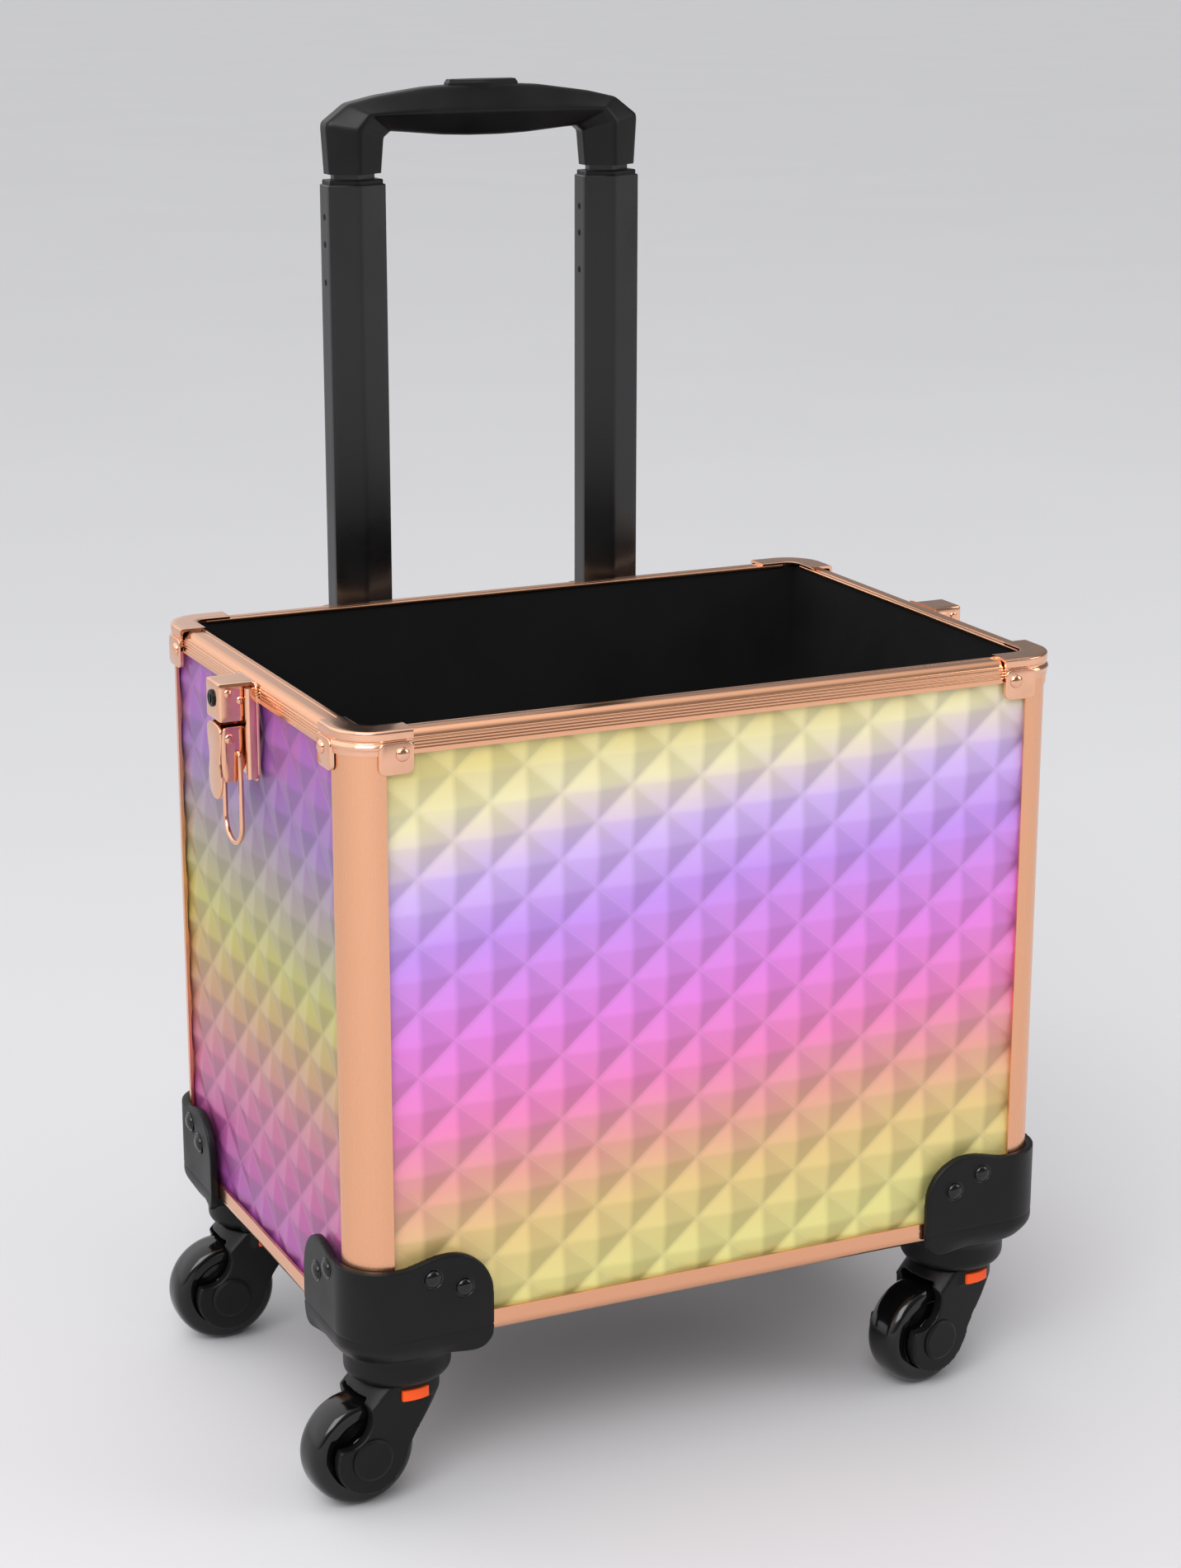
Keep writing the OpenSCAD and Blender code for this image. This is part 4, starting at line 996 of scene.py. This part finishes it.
# A housing's hexagon, the heights of the lower and the upper housing, their rounded upper edge, and the
# plate that joins the two sides, all in mm
HOUSING, HOUSINGS, HOUSING_EDGE = (36.5, 29.0, 29.0), (40, 38), 1.5 * MM
BRIDGE = [(-50, 0), (50, 0), (50, 4), (-50, 4)]
# Small edges, and how far a face stands behind the one that it would share
EDGE, BEHIND = 0.5 * MM, 0.1 * MM


def at_tubes(*parts):
    """Parts at each of the handle's two tubes."""
    out = bpy.context.scene.grip.spacing / 2 * MM
    low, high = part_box("middle_tubes")
    return merged([(points + np.array([way * out, (low.y + high.y) / 2, 0]), quads, ends)
                   for way in (-1, 1) for points, quads, ends in parts])


def tube_parts(outer, low, mouth):
    """A middle tube, open at both ends; the collar in its mouth; and its stop holes."""
    tube = stacked([(outer, low), (outer, mouth - EDGE), (inset(outer, EDGE), mouth),
                    (inset(outer, TUBE_WALL * MM), mouth), (inset(outer, TUBE_WALL * MM), low)], True)
    collar, inner = inset(outer, COLLAR * MM), hexagon(*MOUTH)
    foot, shoulder, top = (mouth + z * MM for z in COLLAR_Z)
    ring = stacked([(collar, foot), (collar, shoulder), (inset(collar, EDGE), top), (inner, top),
                    (inner, foot)], True)
    face = -TUBE[0] / 2 * MM + BEHIND
    holes = merged([round_of(np.array(HOLE) * MM, (face, 0, mouth - drop * MM), (-1, 0, 0), 20)
                    for drop in STOP_HOLES])
    return tube, ring, holes


def sleeve_parts(outer, top):
    """A guide sleeve and its two housings, and the plates that join the housings of both sides."""
    sleeve, bore = inset(outer, SLEEVE * MM), inset(outer, BORE * MM)
    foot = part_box("handle_sleeves")[0].z
    pipe = stacked([(sleeve, foot), (sleeve, top - EDGE), (inset(sleeve, EDGE), top), (bore, top),
                    (bore, foot)], True)
    block = hexagon(*HOUSING, 0.3)
    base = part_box("sleeve_plates")[0].z
    blocks, plates = [], []
    for low, high in ((base, base + HOUSINGS[0] * MM), (top - HOUSINGS[1] * MM, top)):
        blocks.append(stacked([(inset(block, EDGE), low), (block, low + EDGE), (block, high - HOUSING_EDGE),
                               (inset(block, EDGE), high - EDGE), (inset(block, HOUSING_EDGE), high),
                               (sleeve, high), (sleeve, low)], True))
        points, quads, ends = slab(ring_of(BRIDGE, 0.02, 2), low, high, 0.6 * MM)
        plates.append((points + np.array([0, BACK_Y + BEHIND, 0]), quads, ends))
    return pipe, blocks, plates


def button_pad(top, y):
    """The push button: a low pad with a shallow ridge along its middle and sloping sides."""
    pad = hexagon(37, 13, 7, 0.08, 8)
    points, quads, ends = stacked([(inset(pad, step * MM), top + height * MM)
                                   for step, height in ((0, -8), (0, 0.4), (1.4, 1.9), (2.0, 2.1))])
    return points + np.array([0, y, 0]), quads, ends


class BuildHandle(bpy.types.Operator):
    """Telescoping tubes, collars, sleeves and grip"""

    bl_idname = "traincase.handle"
    bl_label = "Handle"

    def execute(self, context):
        plastic, grip = context.scene.plastic, context.scene.grip
        lacquer = moulded_plastic("black lacquered aluminium tube", plastic.tube, 0.3, 0.5, 0.04, 0.6)
        satin = moulded_plastic("black ABS, satin", plastic.satin, 0.34)
        # near black for the stop holes: the black inner tube seen through them, and painted shade inside them
        core = moulded_plastic("painted hole shade", "#020202", 0.8)
        dress(["inner_tubes"], lacquer)
        low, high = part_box("middle_tubes")
        foot, top = (corner.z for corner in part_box("grip_outer_shell"))
        outer = hexagon(*TUBE)
        tube, collar, holes = tube_parts(outer, low.z, high.z + grip.tube_lift * MM)
        pipe, blocks, plates = sleeve_parts(outer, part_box("sleeve_plates")[1].z - grip.housing_drop * MM)
        neck = stacked([(hexagon(*NECK), foot + z * MM) for z in NECK_Z])
        middle, inner = "handle_middle_stage", "handle_inner_stage"
        solid("middle_tube_pair", at_tubes(tube), lacquer, middle, ["middle_tubes"])
        solid("tube_collars", at_tubes(collar), satin, middle, ["middle_collars"])
        # shallow near-black dishes for the holes, with the shade inside each hole painted in
        solid("tube_stop_holes", at_tubes(holes), core, middle)
        solid("grip_necks", at_tubes(neck), lacquer, inner)
        solid("guide_sleeves", at_tubes(pipe), lacquer, "case", ["handle_sleeves"])
        solid("guide_housings", merged([at_tubes(*blocks), *plates]), satin, "case", ["sleeve_plates"])
        solid("push_button", button_pad(top, (low.y + high.y) / 2), satin, "grip_button", ["grip_button"],
              angle=20)
        solid("grip_shells", grip_surface(), satin, inner, ["grip_outer_shell", "grip_inner_shell"], angle=40)
        return {"FINISHED"}


def latch_frame(side):
    """A latch's place on its side's face at the rim, and its directions: along y, up and outward."""
    low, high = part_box(side + "_latch_base")
    out = -1.0 if side == "left" else 1.0
    return (LEFT_X if out < 0 else RIGHT_X, (low.y + high.y) / 2, RIM_Z), (0, 1, 0), (0, 0, 1), (out, 0, 0)


# A latch in mm, as (along the face, height under the rim) or (out of the face, along or height)
PLATE = [(-14.3, -47), (14.3, -47), (14.3, -1), (-14.3, -1)]
LOCK_BOX = [(-9, -19), (9, -19), (9, -1), (-9, -1)]
LOCK_Z, LOCK_BORE = -9, 4.05
ROLL = [(0.5, 14.3), (0.5, 13.1), (3.0, 12.9), (3.0, 11.2), (5.9, 11.2), (5.9, 14.3)]
EAR = [(0.5, -29.5), (14.5, -29.5), (15.3, -26.5), (14.5, -23.5), (0.5, -23.5)]
LEAF_HALF = [(3.4, -56), (7.6, -52), (9.0, -45), (6.4, -37), (9, -29), (9, -20.4)]
CHEEK = [(4.2, -38), (9, -46.8), (14.5, -46.8), (16.2, -42), (16.2, -21.2), (4.2, -21.2)]
# Rivet heads on a cheek: out of the face, height, radius, seat and depth of the foot under it
PINS = [(12.6, -5.6, 1.9, 9, 0.4), (6.8, -9.2, 1.9, 9, 0.4), (12.5, -26.5, 2.3, 9.05, 0)]
KEY = [(0, 17.5), (2.0, 17.5), (2.5, 18.1), (3.3, 18.2), (3.85, 17.9), (4.0, 17.3), (4.0, 8.6), (0, 8.6)]
KEY_BAR = [(-0.7, -11.4), (0.7, -11.4), (0.7, -6.6), (-0.7, -6.6)]


def sheet_of(points, soft, low, high, bevel):
    """A plate from an outline with rounded corners, everything in mm."""
    return slab(ring_of(points, soft), low * MM, high * MM, bevel * MM)


def latch_base(side):
    """Base plate with rolled flanges, lock box with the key's bore, ears and rivet heads."""
    origin, along, up, out = latch_frame(side)
    box = ring_of(LOCK_BOX, 0.07)
    turn = np.radians(225 + 90 * np.arange(len(box)) / 12)
    bore = (np.array([0, LOCK_Z]) + LOCK_BORE * np.column_stack([np.cos(turn), np.sin(turn)])) * MM
    shell = [(box, 1.0 * MM)]
    for t in np.linspace(0, np.pi / 2, 5):
        shell.append((inset(box, 1.3 * MM * (1 - math.cos(t))), (15.7 + 1.3 * math.sin(t)) * MM))
    shell += [(bore, 17 * MM), (bore, 8 * MM)]
    parts = [placed(part, origin, along, up, out) for part in
             (sheet_of(PLATE, 0.12, 0, 1.2, 0.4), stacked(shell))]
    flange = stacked([(ring_of(ROLL, 0.4, 8), -3.0 * MM), (ring_of(ROLL, 0.4, 8), -45.0 * MM)])
    heads = [round_of(dome(radius, 0.85, foot, 8), np.array([x, z, seat]) * MM, (0, 0, 1), 24)
             for x, z, radius, seat, foot in PINS]
    for way in (-1, 1):
        cheek = (0, way, 0)
        parts.append(placed(flange, origin, out, cheek, up))
        parts += [placed(part, origin, out, up, cheek)
                  for part in (sheet_of(EAR, 0.3, 5.4, 7.3, 0.3), *heads)]
    return merged(parts)


def latch_lever(side):
    """The lever: a leaf-shaped face with a waist, between two cheeks with rounded feet."""
    origin, along, up, out = latch_frame(side)
    leaf = sheet_of(LEAF_HALF + [(-y, z) for y, z in LEAF_HALF[::-1]], 0.45, 15.8, 17, 0.5)
    wall = sheet_of(CHEEK, 0.25, 7.8, 9, 0.25)
    return merged([placed(leaf, origin, along, up, out)]
                  + [placed(wall, origin, out, up, (0, way, 0)) for way in (-1, 1)])


def latch_bail(side):
    """The bail: a wire with a round bottom and two ends bent inward."""
    low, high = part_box(side + "_latch_bail")
    r = 1.2 * MM
    half, top, bottom = (high.y - low.y) / 2 - r, high.z - r, low.z + r
    bend = half * 0.94
    a = np.linspace(0, np.pi, 33)
    arm = [(half - inward * MM, top - down * MM)
           for inward, down in ((2.4, 0), (0.8, 0), (0.2, 0.3), (0, 1.2))]
    loop = zip(half * np.cos(a), bottom + bend - bend * np.sin(a))
    u = np.array([*arm, *loop, *((-y, z) for y, z in arm[::-1])])
    path = np.column_stack([np.full(len(u), (low.x + high.x) / 2), u[:, 0] + (low.y + high.y) / 2, u[:, 1]])
    return wire(path, (1.0, 0.0, 0.0), r)


def key_cylinder(side):
    """The lock's core with a rounded rim, a dished middle and a bar for the key's slot."""
    origin, along, up, out = latch_frame(side)
    core = round_of(np.array(KEY) * MM, (0, LOCK_Z * MM, 0), (0, 0, 1), 36)
    bar = sheet_of(KEY_BAR, 0.15, 17.3, 18.3, 0.2)
    return merged([placed(part, origin, along, up, out) for part in (core, bar)])


class BuildLatches(bpy.types.Operator):
    """Draw latches with their key cylinders"""

    bl_idname = "traincase.latches"
    bl_label = "Latches"

    def execute(self, context):
        polished = polished_metal("polished rose gold latch", context.scene.metal.polished, 0.08)
        core = moulded_plastic("black lock core", "#0C0C0D", 0.3)
        for side in ("left", "right"):
            for name, part, material, body, node in (
                    ("_latch_plate", latch_base(side), polished, "case", "_latch_base"),
                    ("_leaf_lever", latch_lever(side), polished, side + "_latch_lever", "_latch_lever"),
                    ("_bail_wire", latch_bail(side), polished, side + "_latch_bail", "_latch_bail"),
                    ("_lock_core", key_cylinder(side), core, side + "_key_cylinder", "_key_cylinder")):
                solid(side + name, part, material, body, [side + node])
        return {"FINISHED"}


# ---------- stage ----------

# Brightness of the studio from its dark side to its light one: the light overhead and the wall
OVERHEAD = greys([(0.0, 0.22), (0.5, 0.25), (0.65, 0.3), (0.74, 0.9), (0.84, 1.5), (1.0, 1.7)])
PALE_WALL = greys([(0.0, 0.0), (0.6, 0.12), (0.79, 0.36), (0.87, 1.0), (1.0, 1.1)])
# The camera, from the fit to the photograph: place from the middle of the case's underside in metres,
# the way it looks and its right
CAMERA_PLACE = (-0.6258, -1.3178, 0.6235)
CAMERA_AIM = (0.4098, 0.8706, -0.2722)
CAMERA_RIGHT = (0.905, -0.4255, 0.0014)


class BuildStage(bpy.types.Operator):
    """Floor, lamps, even light and camera"""

    bl_idname = "traincase.stage"
    bl_label = "Stage"

    def execute(self, context):
        scene = context.scene
        stage = scene.stage
        self.floor(stage)
        self.sky(scene, stage)
        self.lamp("key", stage.key, 2.4, (-1.9, -2.3, 2.6))
        self.lamp("fill", stage.fill, 2.0, (2.6, -1.6, 1.6))
        self.camera(scene, stage)
        scene.view_settings.view_transform = "Standard"
        return {"FINISHED"}

    @staticmethod
    def floor(stage):
        """A wide level floor of pale paper."""
        reach = 30.0
        material, tree, body, place = shader("matt backdrop paper", Roughness=0.9, Specular_IOR_Level=0.2)
        base = linear(stage.floor)
        cloud = noise(tree, place["Object"], 2.2, 3.0)
        feed(tree, body, Base_Color=ramp(tree, [(0.35, scaled(base, 0.985)), (0.65, base)], cloud))
        mesh = bpy.data.meshes.new("floor")
        mesh.from_pydata([(-reach, -reach, 0), (reach, -reach, 0), (reach, reach, 0), (-reach, reach, 0)],
                         [], [(0, 1, 2, 3)])
        mesh.materials.append(material)
        linked("floor", mesh)

    @staticmethod
    def sky(scene, stage):
        """A soft studio, the same for light, camera and reflections: a wide soft light overhead, a pale
        wall behind and to the left, a dark room in front."""
        world = bpy.data.worlds.new("even light")
        scene.world = world
        world.use_nodes = True
        tree = world.node_tree
        tree.nodes.clear()
        way = add(tree, "ShaderNodeTexCoord").outputs["Generated"]
        above = ramp(tree, OVERHEAD, spread(tree, dot(tree, way, (-0.5, 0.25, 0.83)), -1.0, 1.0))
        wall = ramp(tree, PALE_WALL, spread(tree, dot(tree, way, (-0.45, 0.89, 0.0)), -1.0, 1.0))
        light = add(tree, "ShaderNodeBackground", values={"Strength": stage.sky},
                    links={"Color": blended(tree, "LIGHTEN", above, wall)})
        add(tree, "ShaderNodeOutputWorld", links={"Surface": light.outputs[0]})

    @staticmethod
    def lamp(name, power, size, place):
        """A soft square lamp aimed at the middle of the case."""
        data = bpy.data.lights.new(name, "AREA")
        data.energy = power
        data.size = size
        lamp = linked(name, data)
        lamp.location = place
        aim = Vector((CASE_X, CASE_Y, 0.3)) - Vector(place)
        lamp.rotation_euler = aim.to_track_quat("-Z", "Y").to_euler()

    @staticmethod
    def camera(scene, stage):
        """Camera from the front left, level sideways, looking a little down."""
        data = bpy.data.cameras.new("camera")
        data.sensor_fit = "VERTICAL"
        data.sensor_height = 36.0
        data.lens = stage.lens
        right, aim = Vector(CAMERA_RIGHT).normalized(), Vector(CAMERA_AIM).normalized()
        up = right.cross(aim).normalized()
        right = aim.cross(up)
        turn = Matrix((right, up, -aim)).transposed().to_4x4()
        scene.camera = linked("camera", data)
        place = Vector(CAMERA_PLACE) + Vector((0, CASE_Y, FOOT_Z))
        scene.camera.matrix_world = Matrix.Translation(place) @ turn


OPERATORS = [BuildStage, BuildPanels, BuildFrame, BuildLining, BuildCasters, BuildHandle, BuildLatches]


class TrainCasePanel(bpy.types.Panel):
    """Sidebar panel with every builder"""

    bl_idname = "VIEW3D_PT_train_case"
    bl_label = "Train Case"
    bl_space_type = "VIEW_3D"
    bl_region_type = "UI"
    bl_category = "Train Case"

    def draw(self, context):
        for name, group in SETTINGS.items():
            box = self.layout.box()
            for prop in group.__annotations__:
                box.prop(getattr(context.scene, name), prop)
        for operator in OPERATORS:
            self.layout.operator(operator.bl_idname)


def register():
    for cls in [*SETTINGS.values(), *OPERATORS, TrainCasePanel]:
        bpy.utils.register_class(cls)
    for name, group in SETTINGS.items():
        setattr(bpy.types.Scene, name, bpy.props.PointerProperty(type=group))


def unregister():
    for name in SETTINGS:
        delattr(bpy.types.Scene, name)
    for cls in reversed([*SETTINGS.values(), *OPERATORS, TrainCasePanel]):
        bpy.utils.unregister_class(cls)


def main():
    """Registers the add-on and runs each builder."""
    register()
    for operator in OPERATORS:
        group, name = operator.bl_idname.split(".")
        getattr(getattr(bpy.ops, group), name)()


if __name__ == "__main__":
    main()
